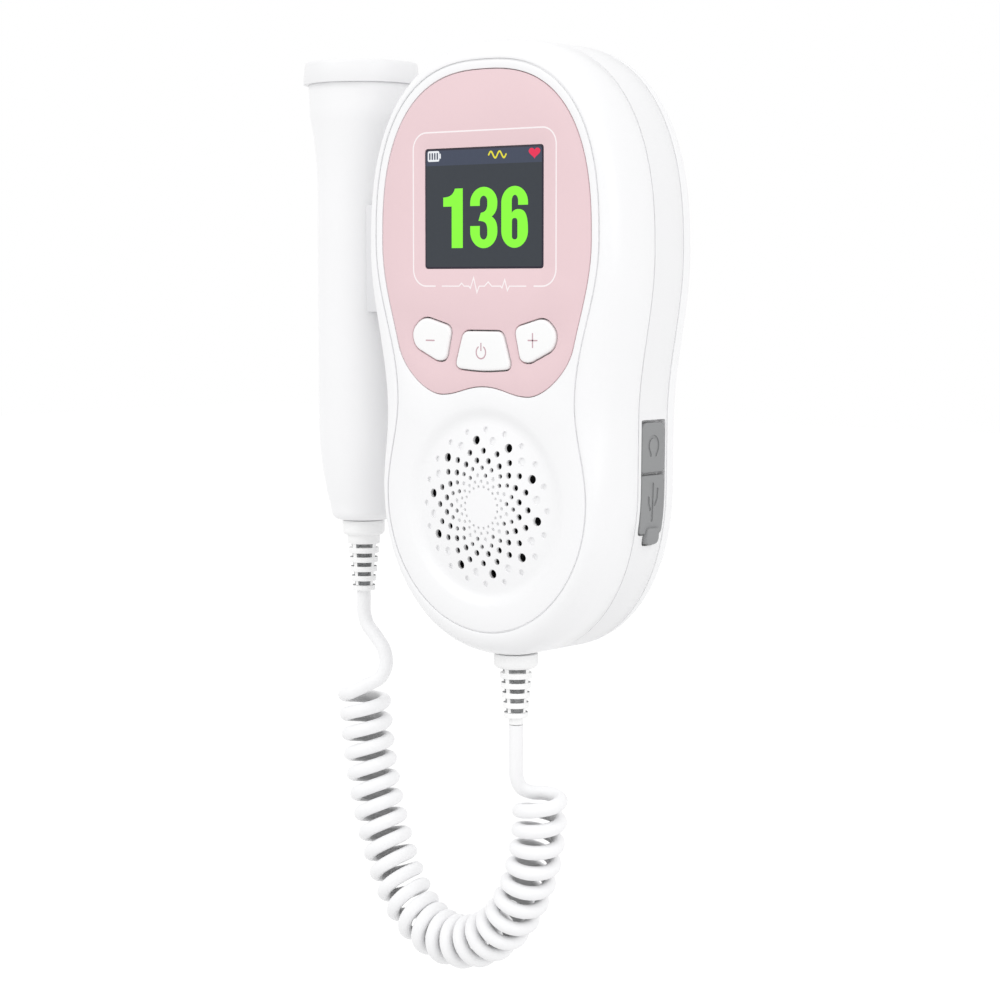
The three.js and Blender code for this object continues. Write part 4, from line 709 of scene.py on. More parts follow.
# The front panel is a glossy white moulding that fills the front of the casing. It holds the
# coloured plate in a shallow recess, and a round hollow below has a low dome in its middle.
# Five rings of holes let the sound out, and five rings of blind dimples finish the pattern.
DISH_HEIGHT = -37.54
DISH_SLOPE_RADIUS = 20.4
DISH_BRIM_RADIUS = 24.2
DOME_PROUD = 1.1
DISH_RISE = 2.55
DISH_SCALE_RADIUS = 21.2
PANEL_THICK = 2.6
GRILLE_THICK = 0.9
POCKET_RADIUS = 18.5
POCKET_DEPTH = 8
POCKET_SKEW = math.radians(2.1)
PLATE_GAP = 0.2
KEY_GAP = 0.35
DIMPLE = 0.62
DIMPLE_TAPER = 0.93
PLATE_INSET = 2.1
PLATE_RECESS = 1.3
SHOULDER_HEIGHT = 0.7
LOBE = Vector((13, -11.0))
NOTCH = Vector((0, -8.9))
SCREEN_HEIGHT = 33.02
SCREEN_HALF = (17.5, 13.8)
POWER_CORNERS = ((-8.6, -4.7), (0, -5.35), (8.6, -4.7), (5.9, 4.1), (-5.9, 4.1))
PLUS_CORNERS = (
    (11.25, -2.665), (13.75, -3.2), (21.125, 0.224), (22, 4.076), (18.5, 7.5), (9.5, 5.039),
)
THROUGH_RINGS = (
    (16, 10, 27, 1.07), (13.4, 20, 0, 0.75), (11.15, 20, 9, 0.75), (9.4, 20, 0, 0.55),
    (7.65, 10, 9, 0.53),
)
BLIND_RINGS = (
    (15.9, 10, 9, 1), (18.4, 20, 0, 0.72), (7.65, 10, 27, 0.5), (6.2, 20, 0, 0.4),
    (4.95, 20, 9, 0.34),
)


def dish_sink(radius):
    """How far the hollow lies behind the panel's front at a distance from its middle."""
    bowl = DISH_RISE * (min(radius, DISH_SLOPE_RADIUS) / DISH_SCALE_RADIUS) ** 2 - DOME_PROUD
    if radius <= DISH_SLOPE_RADIUS:
        return bowl
    reach = DISH_BRIM_RADIUS - DISH_SLOPE_RADIUS
    t = min((radius - DISH_SLOPE_RADIUS) / reach, 1)
    slope = 2 * DISH_RISE * DISH_SLOPE_RADIUS / DISH_SCALE_RADIUS ** 2
    return bowl * (2 * t ** 3 - 3 * t ** 2 + 1) + slope * reach * (t ** 3 - 2 * t ** 2 + t)


def panel_front(x, z, depth):
    """A place on the panel, which follows the hollow."""
    return front(x, z, depth + dish_sink(math.hypot(x, z - DISH_HEIGHT)))


def bezier(first, first_pull, last_pull, last, steps):
    """Points of a cubic curve after its first one."""
    first, first_pull, last_pull, last = map(Vector, (first, first_pull, last_pull, last))
    points = []
    for i in range(1, steps + 1):
        t = i / steps
        point = first * (1 - t) ** 3 + first_pull * (3 * t * (1 - t) ** 2)
        points.append(point + last_pull * (3 * t ** 2 * (1 - t)) + last * t ** 3)
    return points


def plate_loop(margin):
    """The coloured plate's outline: crown and shoulders, then two lobes and a notch."""
    form = grown(PANEL, margin - PLATE_INSET)
    right = [point for point in outline(form) if point.x >= 0 and point.y > SHOULDER_HEIGHT]
    shoulder = Vector((half_width(form, SHOULDER_HEIGHT), SHOULDER_HEIGHT))
    below = Vector((half_width(form, SHOULDER_HEIGHT - 3), SHOULDER_HEIGHT - 3))
    away = (below - shoulder).normalized() * 6
    lobe = LOBE - Vector((0, margin))
    notch = NOTCH - Vector((0, margin))
    right.append(shoulder)
    right += bezier(shoulder, shoulder + away, lobe + Vector((5, 0)), lobe, 22)
    right += bezier(lobe, lobe - Vector((5, 0)), notch + Vector((5.5, 0)), notch, 18)
    return right + mirrored(right[1:-1])


def screen_loop(border, corner):
    """The screen's outline with a border round it."""
    x, z = SCREEN_HALF[0] + border, SCREEN_HALF[1] + border
    return rounded(box((-x, SCREEN_HEIGHT - z), (x, SCREEN_HEIGHT + z)), corner, 8)


def circle(centre, radius, count, start):
    """Points round a centre, from an angle in degrees."""
    turns = [math.radians(start) + math.tau * i / count for i in range(count)]
    return [Vector(centre) + Vector((math.cos(t), math.sin(t))) * radius for t in turns]


def rings_tree():
    """Sets the given shape in a ring round the hollow, and bends it to the hollow's curve."""
    tree, given, result = geometry_tree(
        "Ring of holes",
        [
            ("Ring Radius", "NodeSocketFloat", 0.01), ("Count", "NodeSocketInt", 10),
            ("Start Angle", "NodeSocketFloat", 0.0), ("Material", "NodeSocketMaterial", None),
        ],
    )
    values = {"Vertices": given["Count"], "Radius": given["Ring Radius"]}
    ring = linked(tree, "GeometryNodeMeshCircle", values).outputs[0]
    start = linked(tree, "ShaderNodeCombineXYZ", {"Z": given["Start Angle"]}).outputs[0]
    for turn in (start, (math.pi / 2, 0, 0)):
        values = {"Geometry": ring, "Rotation": turn}
        ring = linked(tree, "GeometryNodeTransform", values).outputs[0]
    copies = copies_on(tree, ring, given["Geometry"])
    spot = linked(tree, "GeometryNodeInputPosition").outputs[0]
    values = {0: spot, 1: (1, 0, 1)}
    flat = linked(tree, "ShaderNodeVectorMath", values, operation="MULTIPLY").outputs[0]
    values = {0: flat, 1: flat}
    square = linked(tree, "ShaderNodeVectorMath", values, operation="DOT_PRODUCT").outputs["Value"]
    curve = DISH_RISE / DISH_SCALE_RADIUS ** 2 / MM
    sink = reckoned(tree, "MULTIPLY_ADD", square, curve, -DOME_PROUD * MM)
    move = linked(tree, "ShaderNodeCombineXYZ", {"Y": sink, "Z": DISH_HEIGHT * MM}).outputs[0]
    return closing(tree, copies, given, result, move)


EDGE_ROUND = [(-0.2, 0), (-0.06, 0.06), (0, 0.2)]
MOUTH_ROUND = [(0.2, 0), (0.06, 0.06), (0, 0.2)]
panel_white = moulded("panel white", CASING_WHITE, 0.3, Specular_IOR_Level=0.45)
power_loop = rounded(POWER_CORNERS, [2.2, 6, 2.2, 1.7, 1.7])
plus_loop = rounded(PLUS_CORNERS, [2, 2, 2.8, 2.8, 2.6, 2])
key_loops = {"minus": mirrored(plus_loop), "power": power_loop, "plus": plus_loop}
key_holes = [shifted(loop, KEY_GAP) for loop in key_loops.values()]
wells = [
    {"loop": loop, "steps": [(0, PLATE_RECESS), (0, PANEL_THICK)]}
    for loop in [screen_loop(1, 0.6), *key_holes]
]
bed_steps = [*MOUTH_ROUND, (0, PLATE_RECESS)]
plate_recess = {"loop": plate_loop(PLATE_GAP), "steps": bed_steps, "floor": wells}
hollow = [Vector((0, DISH_HEIGHT))]
for radius in (*range(2, 19, 2), 19.5, 20.4, 21.2, 22, 22.8, 23.5, DISH_BRIM_RADIUS):
    count = 24 if radius < 7 else 48 if radius < 14 else 96
    hollow += circle((0, DISH_HEIGHT), radius, count, 1.3)
panel = add_plate(
    bmesh.new(), panel_front, outline(PANEL),
    [*EDGE_ROUND, (0, 0.45), (0.3, 0.45), (0.3, PANEL_THICK)], [plate_recess], hollow,
)
front_panel = finished("front_panel_skin", panel, panel_white)


def round_dish(x, z, depth):
    """A turned form about the axis of the hollow, whose corners miss those of the holes."""
    across = x * math.cos(POCKET_SKEW) - z * math.sin(POCKET_SKEW)
    up = x * math.sin(POCKET_SKEW) + z * math.cos(POCKET_SKEW)
    return front(across, DISH_HEIGHT + up, depth)


thinned = [(radius, dish_sink(radius) + GRILLE_THICK) for radius in range(0, 19, 2)]
thinned += [(POCKET_RADIUS, POCKET_DEPTH), (0, POCKET_DEPTH)]
pocket = turned(bmesh.new(), thinned, round_dish, sides=80)
joined_by(front_panel, finished("pocket", pocket, panel_white))
ring_tree = rings_tree()
for rings, open_through in ((THROUGH_RINGS, True), (BLIND_RINGS, False)):
    for ring_radius, count, start, hole_radius in rings:
        lip = min(0.08, hole_radius / 5)
        profile = [(0, -3), (hole_radius + lip, -3), (hole_radius + lip, -0.02)]
        if open_through:
            profile += [(hole_radius, lip), (hole_radius, 9), (0, 9)]
        else:
            profile += [(hole_radius, lip), (hole_radius * DIMPLE_TAPER, DIMPLE), (0, DIMPLE)]
        pin = turned(bmesh.new(), profile, round_back, sides=24 if hole_radius > 0.5 else 16)
        values = {
            "Ring Radius": ring_radius * MM, "Count": count, "Start Angle": math.radians(start),
            "Material": panel_white,
        }
        tool = grown_from(ring_tree, "tool", pin, values)
        tool.data.transform(Matrix.Translation((0, -BODY_DEPTH * MM, 0)))
        joined_by(front_panel, tool)
dressed(front_panel, "handset", "white_shell", "front_panel")

# The coloured plate is a thin rose moulding with a matt skin, glued into the panel's recess.
# It leaves openings for the screen and the three keys. A white line is printed on it round the
# screen, and a small pulse trace fills the break in the line.
ROSE = "ebcfd3"
PRINT_WHITE = "fbf3f4"
PRINT_LEVEL = -0.03
LINE_WIDTH = 0.36
LINE_HALF = 21.6
LINE_TOP = 51.1
LINE_FOOT = 14.7
LINE_CORNER = 4
PLATE_THICK = 1


def stroke(path, width):
    """The outline of a line with round ends that is drawn along a path."""
    left, right = [], []
    ways = [(after - here).normalized() for here, after in zip(path, path[1:])]
    for here, coming, going in zip(path, ways[:1] + ways, ways + ways[-1:]):
        sides = [Vector((-way.y, way.x)) for way in (coming, going)]
        across = (sides[0] + sides[1]) * width / 2 / (1 + sides[0].dot(sides[1]))
        left.append(here + across)
        right.append(here - across)
    ends = []
    for end, across in ((path[-1], left[-1] - path[-1]), (path[0], right[0] - path[0])):
        start = math.atan2(across.y, across.x)
        turns = [start - math.pi * k / 6 for k in range(1, 6)]
        ends.append([end + Vector((math.cos(t), math.sin(t))) * width / 2 for t in turns])
    return left + ends[0] + right[::-1] + ends[1]


def arc(centre, across, up, first, last, steps):
    """Points of an upright oval between two angles in degrees."""
    turns = [math.radians(first + (last - first) * i / steps) for i in range(steps + 1)]
    return [Vector(centre) + Vector((across * math.cos(t), up * math.sin(t))) for t in turns]


def printed(name, shapes, level, material, thick=0.08):
    """Flat marks that stand a hair proud of the surface they are printed on."""
    shape = bmesh.new()
    for loop, holes in shapes:
        openings = [{"loop": hole, "steps": [(0, level), (0, level + thick)]} for hole in holes]
        add_plate(shape, front, loop, [(0, level), (0, level + thick)], openings)
    return finished(name, shape, material)


rose = moulded("rose plate", ROSE, 0.5, shade=0.02, grain=3500, bump=0.06, Specular_IOR_Level=0.35)
screen_mouth = [(0.1, 0), (0.03, 0.03), (0, 0.1), (0, PLATE_THICK)]
key_mouth = [*MOUTH_ROUND, (0, PLATE_THICK)]
plate_openings = [{"loop": screen_loop(0.42, 0.9), "steps": screen_mouth}]
plate_openings += [{"loop": loop, "steps": key_mouth} for loop in key_holes]
plate_steps = [*EDGE_ROUND, (0, PLATE_THICK)]
plate = add_plate(bmesh.new(), front, plate_loop(0), plate_steps, plate_openings)
dressed(finished("faceplate_skin", plate, rose), "handset", "rose_plate", "faceplate")

corner_x = LINE_HALF - LINE_CORNER
right_line = arc((corner_x, LINE_TOP - LINE_CORNER), LINE_CORNER, LINE_CORNER, 90, 0, 10)
right_line += arc((corner_x, LINE_FOOT + LINE_CORNER), LINE_CORNER, LINE_CORNER, 0, -90, 10)
line_ends = [Vector((x, LINE_FOOT)) for x in (-14.8, 15.2)]
line_path = [line_ends[0], *mirrored(right_line), *right_line, line_ends[1]]
pulse = [
    (-12.6, 0), (-7.4, 0), (-6.6, 0.7), (-5.8, 0), (-4.4, 0), (-3.9, -0.5), (-2.9, 2), (-1.9, -1.5),
    (-1.2, 0), (0.4, 0), (1.5, 1), (2.6, 0), (5.2, 0), (5.7, -0.4), (6.5, 1.5), (7.3, -1), (7.9, 0),
    (12.8, 0),
]
pulse_path = [Vector((x, z + LINE_FOOT)) for x, z in pulse]
print_white = moulded("printed white", PRINT_WHITE, 0.45)
marks = [(stroke(line_path, LINE_WIDTH), []), (stroke(pulse_path, 0.3), [])]
dressed(printed("printed_line", marks, PRINT_LEVEL, print_white), "handset", "white_key")

# The screen is a small colour display under a flat window with a dark border. It shows a
# heart rate in large green figures under a header bar with a battery, a wave and a heart.
# The picture is a set of flat glowing marks that lie on the window.
BORDER_COLOUR = "2e2a38"
SCREEN_COLOUR = "373c43"
HEADER_COLOUR = "42495b"
HEADER_FOOT = 43.2
PICTURE_INSET = 0.05
FIGURE_GREEN = "8dff3d"
FIGURE_FOOT = 23.6
PICTURE_LEVEL = -0.02
PICTURE_THICK = 0.06
PICTURE_CORNER = 0.7
HEART_PLACE = (15.3, 45.45)
HEART_HALF = (1.7, 1.38)


def glowing(name, code, strength):
    """A part of the display: its own light under a clear gloss."""
    material = moulded(name, code, 0.22, shade=0.04, bump=0, Specular_IOR_Level=0.15)
    tree = material.node_tree
    shader = tree.nodes["Principled BSDF"]
    place = linked(tree, "ShaderNodeTexCoord").outputs["Object"]
    mapped = linked(tree, "ShaderNodeMapping", {"Vector": place, "Scale": (1, 0, 1)})
    cells = clouds(tree, mapped.outputs[0], 900, 2)
    values = {"Value": cells, "To Min": 0.93, "To Max": 1.05}
    level = linked(tree, "ShaderNodeMapRange", values).outputs["Result"]
    tree.links.new(scaled(tree, paint(code)[:3], level), shader.inputs["Emission Color"])
    shader.inputs["Emission Strength"].default_value = strength
    shader.inputs["Base Color"].default_value = (0.01, 0.01, 0.01, 1)
    for link in list(shader.inputs["Base Color"].links):
        tree.links.remove(link)
    return material


def shape_at(points, x, z):
    """A drawing in its own measures, put in its place on the screen."""
    placed = [Vector((x + point[0], z + point[1])) for point in points]
    pairs = zip(placed, placed[1:])
    return placed[:1] + [here for before, here in pairs if (here - before).length > 0.001]


def figure_one(x, z):
    """A bold upright stroke with a flag at its left."""
    flag = bezier((3.6, 14.1), (3.1, 12.6), (2, 12.1), (0, 12.05), 8)
    points = [(6, 0.1), (6, 14.1), (3.6, 14.1), *flag, (0, 9.9), (2.6, 9.9), (2.6, 0.1)]
    return shape_at(points, x, z)


def figure_three(x, z):
    """Two bowls that are open at the left and meet in a short bar."""
    points = [(0, 9.9), *arc((4.1, 10.6), 4.1, 3.7, 180, 0, 24)]
    points += bezier((8.2, 10.6), (8.2, 9), (7.6, 8), (6.5, 7.35), 6)
    points += bezier((6.5, 7.35), (7.6, 6.8), (8.2, 5.8), (8.2, 4.2), 6)
    points += arc((4.1, 3.9), 4.1, 3.9, 0, -180, 24)
    points += [(0, 5.2), (2.9, 5.2), *arc((4.05, 3.4), 1.15, 1.4, 180, 360, 12)]
    points += bezier((5.2, 3.4), (5.3, 6), (4.6, 6.3), (2.5, 6.4), 8)
    points += bezier((2.5, 8.2), (4.6, 8.3), (5.3, 8.8), (5.2, 10.9), 8)
    points += arc((4.05, 10.9), 1.15, 1.35, 0, 180, 12)
    return shape_at([*points, (2.9, 9.9)], x, z)


def figure_six(x, z):
    """One tall loop whose lower bowl is closed."""
    points = [(7.9, 9.9), *arc((3.95, 10.5), 3.95, 3.8, 0, 180, 24)]
    points += arc((3.95, 3.9), 3.95, 3.9, 180, 360, 24)
    points += bezier((7.9, 3.9), (7.9, 7.8), (7, 8.9), (5.1, 8.95), 10)
    points += bezier((5.1, 8.95), (4, 8.95), (3.3, 8.5), (3.1, 8), 6)
    points += arc((4.05, 10.9), 0.95, 1.35, 180, 0, 12)
    counter = rounded(box((3.15, 1.95), (4.8, 6.9)), 0.8)
    return shape_at([*points, (5, 9.9)], x, z), shape_at(counter, x, z)


border = moulded("window border", BORDER_COLOUR, 0.2, bump=0, Specular_IOR_Level=0.2)
window = add_plate(
    bmesh.new(), front, screen_loop(0.34, 0.85), [(-0.1, 0), (-0.03, 0.03), (0, 0.1), (0, 0.9)]
)
dressed(finished("screen_window", window, border), "handset", "window", "display_window")
picture_half = SCREEN_HALF[0] - PICTURE_INSET
picture_top = SCREEN_HEIGHT + SCREEN_HALF[1] - PICTURE_INSET
picture_foot = SCREEN_HEIGHT - SCREEN_HALF[1] + PICTURE_INSET
header_box = box((-picture_half, HEADER_FOOT), (picture_half, picture_top))
header_loop = rounded(header_box, [0, 0, PICTURE_CORNER, PICTURE_CORNER])
ground_box = box((-picture_half, picture_foot), (picture_half, HEADER_FOOT))
ground_loop = rounded(ground_box, [PICTURE_CORNER, PICTURE_CORNER, 0, 0])
battery = rounded(box((-17, 44.2), (-13.4, 46.7)), 0.5, 4)
bar_places = [-16.6 + 0.78 * k for k in range(4)]
bars = [rounded(box((x, 44.65), (x + 0.45, 46.25)), 0.1, 2) for x in bar_places]
battery_nub = rounded(box((-13.35, 44.85), (-12.95, 46.05)), 0.2, 3)
wave = [Vector((1.7 + 5.2 * k / 60, 45.3 + 0.75 * math.sin(math.tau * k / 30))) for k in range(61)]
heart = []
for k in range(48):
    t = math.tau * k / 48
    up = 13 * math.cos(t) - 5 * math.cos(2 * t) - 2 * math.cos(3 * t) - math.cos(4 * t)
    across = HEART_HALF[0] * math.sin(t) ** 3
    heart.append(Vector((HEART_PLACE[0] + across, HEART_PLACE[1] + up / 16 * HEART_HALF[1])))
six, six_counter = figure_six(5.5, FIGURE_FOOT)
figures = [
    (figure_one(-12.2, FIGURE_FOOT), []),
    (figure_three(-3.9, FIGURE_FOOT), []),
    (six, [six_counter]),
]
picture = (
    ("screen_ground", [(ground_loop, [])], SCREEN_COLOUR, 1, 0),
    ("screen_header", [(header_loop, [])], HEADER_COLOUR, 1, 0),
    ("screen_figures", figures, FIGURE_GREEN, 1, 0.02),
    ("screen_battery", [(battery, bars), (battery_nub, [])], "f4f7fb", 0.95, 0.02),
    ("screen_wave", [(stroke(wave, 0.4), [])], "f0e638", 0.95, 0.02),
    ("screen_heart", [(heart, [])], "ef3158", 0.95, 0.02),
)
for name, shapes, code, strength, rise in picture:
    glow = glowing(name, code, strength)
    mark = printed(name, shapes, PICTURE_LEVEL - rise, glow, PICTURE_THICK)
    dressed(mark, "handset", "screen")

# The three keys are white caps with softly rounded edges. Each stands half a millimetre
# proud in its opening, slides in against a switch, and carries a thin printed sign.
KEY_PROUD = 0.5
SIGN_GREY = "c9a8b0"
SIGN_LEVEL = -KEY_PROUD - 0.02
SIGN_WIDTH = 0.34
KEY_STEPS = [
    (-0.75, -0.5), (-0.5, -0.475), (-0.28, -0.4), (-0.12, -0.27), (-0.03, -0.1), (0, 0.1),
    (0, 2.9), (0.8, 2.9), (0.8, 3.7),
]
key_white = moulded("key white", "fafafa", 0.33, Specular_IOR_Level=0.45)
sign_grey = moulded("sign grey", SIGN_GREY, 0.5)
power_ring = arc((0, -0.35), 1.42, 1.5, 125, 415, 40)
signs = {
    "minus": ([[(-1.25, 0), (1.25, 0)]], (-16, 1.75)),
    "power": ([power_ring, [(0, 0.1), (0, 1.75)]], (-0.3, -0.5)),
    "plus": ([[(-1.3, 0), (1.3, 0)], [(0, -1.6), (0, 1.6)]], (15.15, 2.15)),
}
for key, loop in key_loops.items():
    cap = finished(f"button_{key}_cap", add_plate(bmesh.new(), front, loop, KEY_STEPS), key_white)
    dressed(cap, f"key_{key}", "white_key", f"button_{key}")
    lines, middle = signs[key]
    shapes = [(stroke(shape_at(line, *middle), SIGN_WIDTH), []) for line in lines]
    dressed(printed(f"sign_{key}", shapes, SIGN_LEVEL, sign_grey), f"key_{key}", "white_key")

# Two grey rubber flaps close the sockets at the right side. Their tops are thin hinges, each
# has a plug that presses into its socket, and a sign is sunk in its face. The lower flap ends
# in a narrower tab that stands proud for a finger nail.
SIGN_SINK = [(0.03, 0), (0, 0.05), (0, 0.28)]
FLAP_SIGN_WIDTH = 0.8
FLAP_EDGE = [(-0.35, -0.12), (-0.18, -0.08), (-0.05, 0.04), (0, 0.25), (0, 1.4), (-0.35, 1.8)]
TAB_PROUD = 0.75
SPLIT_HALF_GAP = 0.3
rubber = moulded(
    "grey rubber", "979899", 0.62, shade=0.05, grain=4200, bump=0.15, Specular_IOR_Level=0.3
)


def flap_side(depth, z, level):
    """A place on the flaps, which run straighter than the casing and stand proud at their foot."""
    return side(depth, z, level - 0.007 * max(-36 - z, 0) ** 2)


def flap_sign(path):
    """A line sunk in a flap."""
    loop = stroke([Vector(point) for point in path], FLAP_SIGN_WIDTH)
    return {"loop": loop, "steps": SIGN_SINK, "floor": []}


def plug(x, z, wide, tall):
    """The rubber plug behind a flap, which tapers towards its end."""
    low = (FLAP_MIDDLE - wide / 2, z - tall / 2)
    high = (FLAP_MIDDLE + wide / 2, z + tall / 2)
    loop = rounded(box(low, high), 1.2)
    steps = [(-0.35, x - FLAP_THICK - 1.15), (-0.1, x - FLAP_THICK - 0.9), (0, x - 0.8)]
    return add_plate(bmesh.new(), straight_side, loop, steps)


SIGN_MIDDLE = 21.5
arch = arc((SIGN_MIDDLE, -22.6), 1.9, 2.1, 214, -34, 40)
arch = [Vector((SIGN_MIDDLE - 1.05, -24.8)), *arch, Vector((SIGN_MIDDLE + 1.05, -24.8))]
fork = (
    [(SIGN_MIDDLE, -31.7), (SIGN_MIDDLE, -40.2)],
    [(SIGN_MIDDLE - 1.7, -34.9), (SIGN_MIDDLE - 1.6, -36.5), (SIGN_MIDDLE - 0.92, -37.6)],
    [(SIGN_MIDDLE + 1.8, -33), (SIGN_MIDDLE + 1.6, -35), (SIGN_MIDDLE + 0.92, -36.5)],
)
flap_signs = {"headphone": [flap_sign(arch)], "usb": [flap_sign(line) for line in fork]}
headphone_foot = FLAP_SPLIT + SPLIT_HALF_GAP
usb_top = FLAP_SPLIT - SPLIT_HALF_GAP
flap_boxes = {
    "headphone": ((FLAP_FRONT, headphone_foot), (FLAP_BACK, FLAP_TOP), [0.8, 0.8, 2.2, 2]),
    "usb": ((FLAP_FRONT, FLAP_FOOT), (FLAP_BACK, usb_top), [1.2, 2, 0.8, 0.8]),
}
tab_box = box((TAB_FRONT, TAB_FOOT), (TAB_BACK, FLAP_FOOT + 1.4))
for flap, (low, high, ways) in flap_boxes.items():
    loop = refined(rounded(box(low, high), ways), FINE_EDGE)
    shape = add_plate(bmesh.new(), flap_side, loop, FLAP_EDGE, flap_signs[flap])
    skin = finished(f"{flap}_flap_skin", shape, rubber)
    if flap == "usb":
        loop = refined(rounded(tab_box, [1.8, 1.8, 0.8, 0.8]), FINE_EDGE)
        steps = [(-0.4, -TAB_PROUD), (-0.12, 0.1 - TAB_PROUD), (0, 0.35 - TAB_PROUD), (0, 1.2)]
        tab = add_plate(bmesh.new(), flap_side, loop, steps)
        joined_by(skin, finished("tab", tab, rubber), "UNION")
        stub = plug(half_width(SHELL, USB_HEIGHT), USB_HEIGHT, 1.3, 4)
    else:
        stub = plug(half_width(SHELL, JACK_HEIGHT), JACK_HEIGHT, 2.6, 2.6)
    joined_by(skin, finished("plug", stub, rubber), "UNION")
    dressed(skin, f"flap_{flap}", "grey_rubber", f"{flap}_flap")

# What lies inside the handset is the plain solids: the display with its frame and ribbon
# connector, the boards and chips, the loudspeaker, the cell, the sockets and the key switches.
# They show only through the holes, the gaps and the open flaps, in the finish of the real parts.


def worked_group():
    """Bare metal or board: streaks along one axis, and specks where the surface is uneven."""
    group, given, result = new_group(
        "Worked surface",
        {
            "Colour": [1, 1, 1, 1], "Second": [0.5, 0.5, 0.5, 1], "Mix": 0.3, "Roughness": 0.4,
            "Streak": 0.15, "Scale": 400,
        },
    )
    place = linked(group, "ShaderNodeTexCoord").outputs["Object"]
    drawn = linked(group, "ShaderNodeMapping", {"Vector": place, "Scale": (0.08, 1, 1)})
    streaks = clouds(group, drawn.outputs[0], given["Scale"], 3)
    share = reckoned(group, "MULTIPLY", streaks, given["Mix"])
    values = {0: share, 6: given["Colour"], 7: given["Second"]}
    blend = linked(group, "ShaderNodeMix", values, data_type="RGBA").outputs[2]
    gloss = reckoned(group, "MULTIPLY_ADD", streaks, given["Streak"], given["Roughness"])
    return group_end(group, result, blend, gloss, streaks)


WORKED_SURFACE = worked_group()


def worked(name, code, second, roughness, mix=0.5, scale=400, bump=0.1, **sockets):
    """A metal, board, foil or paper of two mixed colours."""
    values = {
        "Colour": paint(code), "Second": paint(second), "Mix": mix, "Roughness": roughness,
        "Scale": scale,
    }
    return coated(name, WORKED_SURFACE, values, bump, **sockets)


dark_plastic = moulded("dark plastic", "26282b", 0.45, shade=0.1)
steel = worked("steel", "c4c7cb", "8d9196", 0.25, Metallic=1.0)
green_board = worked("green board", "2c6a45", "1b4a30", 0.35, mix=0.9, scale=900)
cell_foil = worked("cell foil", "b1b7be", "979da5", 0.3, mix=0.8, scale=250, Metallic=0.6)
foam = moulded("black foam", "1d1e20", 0.95, shade=0.3, grain=1500, bump=0.6)
cone_paper = moulded("cone paper", "2a2a2c", 0.85, shade=0.25, grain=1800, bump=0.4)
amber_film = worked("amber film", "b4773a", "8a5423", 0.3, mix=0.8, scale=300)
inner_parts = {
    steel: [
        "display_frame", "speaker_basket", "speaker_magnet", "usb_socket", "tact_switch_minus",
        "tact_switch_power", "tact_switch_plus", "board_screw_left", "board_screw_right",
    ],
    green_board: ["main_board", "port_board", "battery_guard_board"],
    dark_plastic: [
        "headphone_jack", "processor_chip", "audio_chip", "switch_plunger_minus",
        "switch_plunger_power", "switch_plunger_plus",
    ],
    cell_foil: ["battery_cell"],
    foam: ["speaker_gasket"],
    cone_paper: ["speaker_cone"],
    amber_film: ["display_connector"],
    glowing("display cell", SCREEN_COLOUR, 0.2): ["display_glass"],
    rubber: ["flap_anchor"],
}


def repainted(material, names):
    """Gives plain solids a better material."""
    for name in names:
        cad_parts[name].material_slots[0].material = material


for material, names in inner_parts.items():
    repainted(material, names)

# The case is closed by four steel screws, whose pan heads lie in the wells of the rear shell.
# Each head has a cross recess, cut into a turned blank.
SCREW_TIP = 5.5
SCREW_SEAT = 14.8
SHANK_RADIUS = 1.1
SCREW_HEAD_RADIUS = 2.2
CROSS_HALF = (1.25, 0.24)
screw_profile = [
    (0, SCREW_TIP), (0.6, SCREW_TIP), (SHANK_RADIUS, SCREW_TIP + 1.2), (SHANK_RADIUS, SCREW_SEAT),
    (SCREW_HEAD_RADIUS, SCREW_SEAT), (SCREW_HEAD_RADIUS, SCREW_SEAT + 0.7),
    (2.05, SCREW_SEAT + 1.15), (1.6, SCREW_SEAT + 1.5), (0, SCREW_SEAT + 1.6),
]
blank = finished("blank", turned(bmesh.new(), screw_profile, round_back, sides=36), steel)
cross_steps = [(0, SCREW_SEAT + 2), (-0.1, SCREW_SEAT + 0.5)]
for across, up in (CROSS_HALF, CROSS_HALF[::-1]):
    corners = rounded(box((-across, -up), (across, up)), 0.1, 2)
    bit = add_plate(bmesh.new(), round_back, corners, cross_steps)
    joined_by(blank, finished("bit", bit, steel))
screw = bmesh.new()
screw.from_mesh(blank.data)
bpy.data.objects.remove(blank)
screws = grown_from(on_places, "case_screws", screw, {"Places": well_points, "Material": steel})
bpy.data.objects.remove(well_points)
screw_nodes = [
    f"case_screw_{end}_{hand}" for end in ("upper", "lower") for hand in ("left", "right")
]
dressed(screws, "handset", "steel", *screw_nodes)

# The probe is parked at the left side in a moulded saddle, an open curve of white plastic
# that clasps nearly a quarter of its girth and is fixed to the casing by a flared foot.
PROBE_X = -52.4
PROBE_DEPTH = 15.8
CRADLE_INNER = 11.6
CRADLE_ARM = 1.7
CRADLE_ANGLE = 40
CRADLE_FOOT_HALF = 9
CRADLE_ENDS = (8.3, 34.7)


def upright(x, depth, z):
    """A place from a flat outline seen from above, in metres."""
    return front(x, z, depth)


def cradle_loop():
    """The saddle seen from above."""
    middle = (PROBE_X, PROBE_DEPTH)
    outer_radius = CRADLE_INNER + CRADLE_ARM
    edge = CRADLE_ANGLE + math.degrees(CRADLE_ARM / outer_radius / 2)
    tip = arc(middle, outer_radius, outer_radius, edge, edge, 1)[0]
    points = arc(middle, CRADLE_INNER, CRADLE_INNER, -CRADLE_ANGLE, CRADLE_ANGLE, 36)
    foot_x = -SHELL["upper_half"] + 1
    foot = Vector((foot_x, PROBE_DEPTH + CRADLE_FOOT_HALF))
    points += [tip, *bezier(tip, tip.lerp(foot, 0.4), foot - Vector((1.6, 0)), foot, 8)]
    return points + [Vector((p.x, 2 * PROBE_DEPTH - p.y)) for p in reversed(points[37:])]


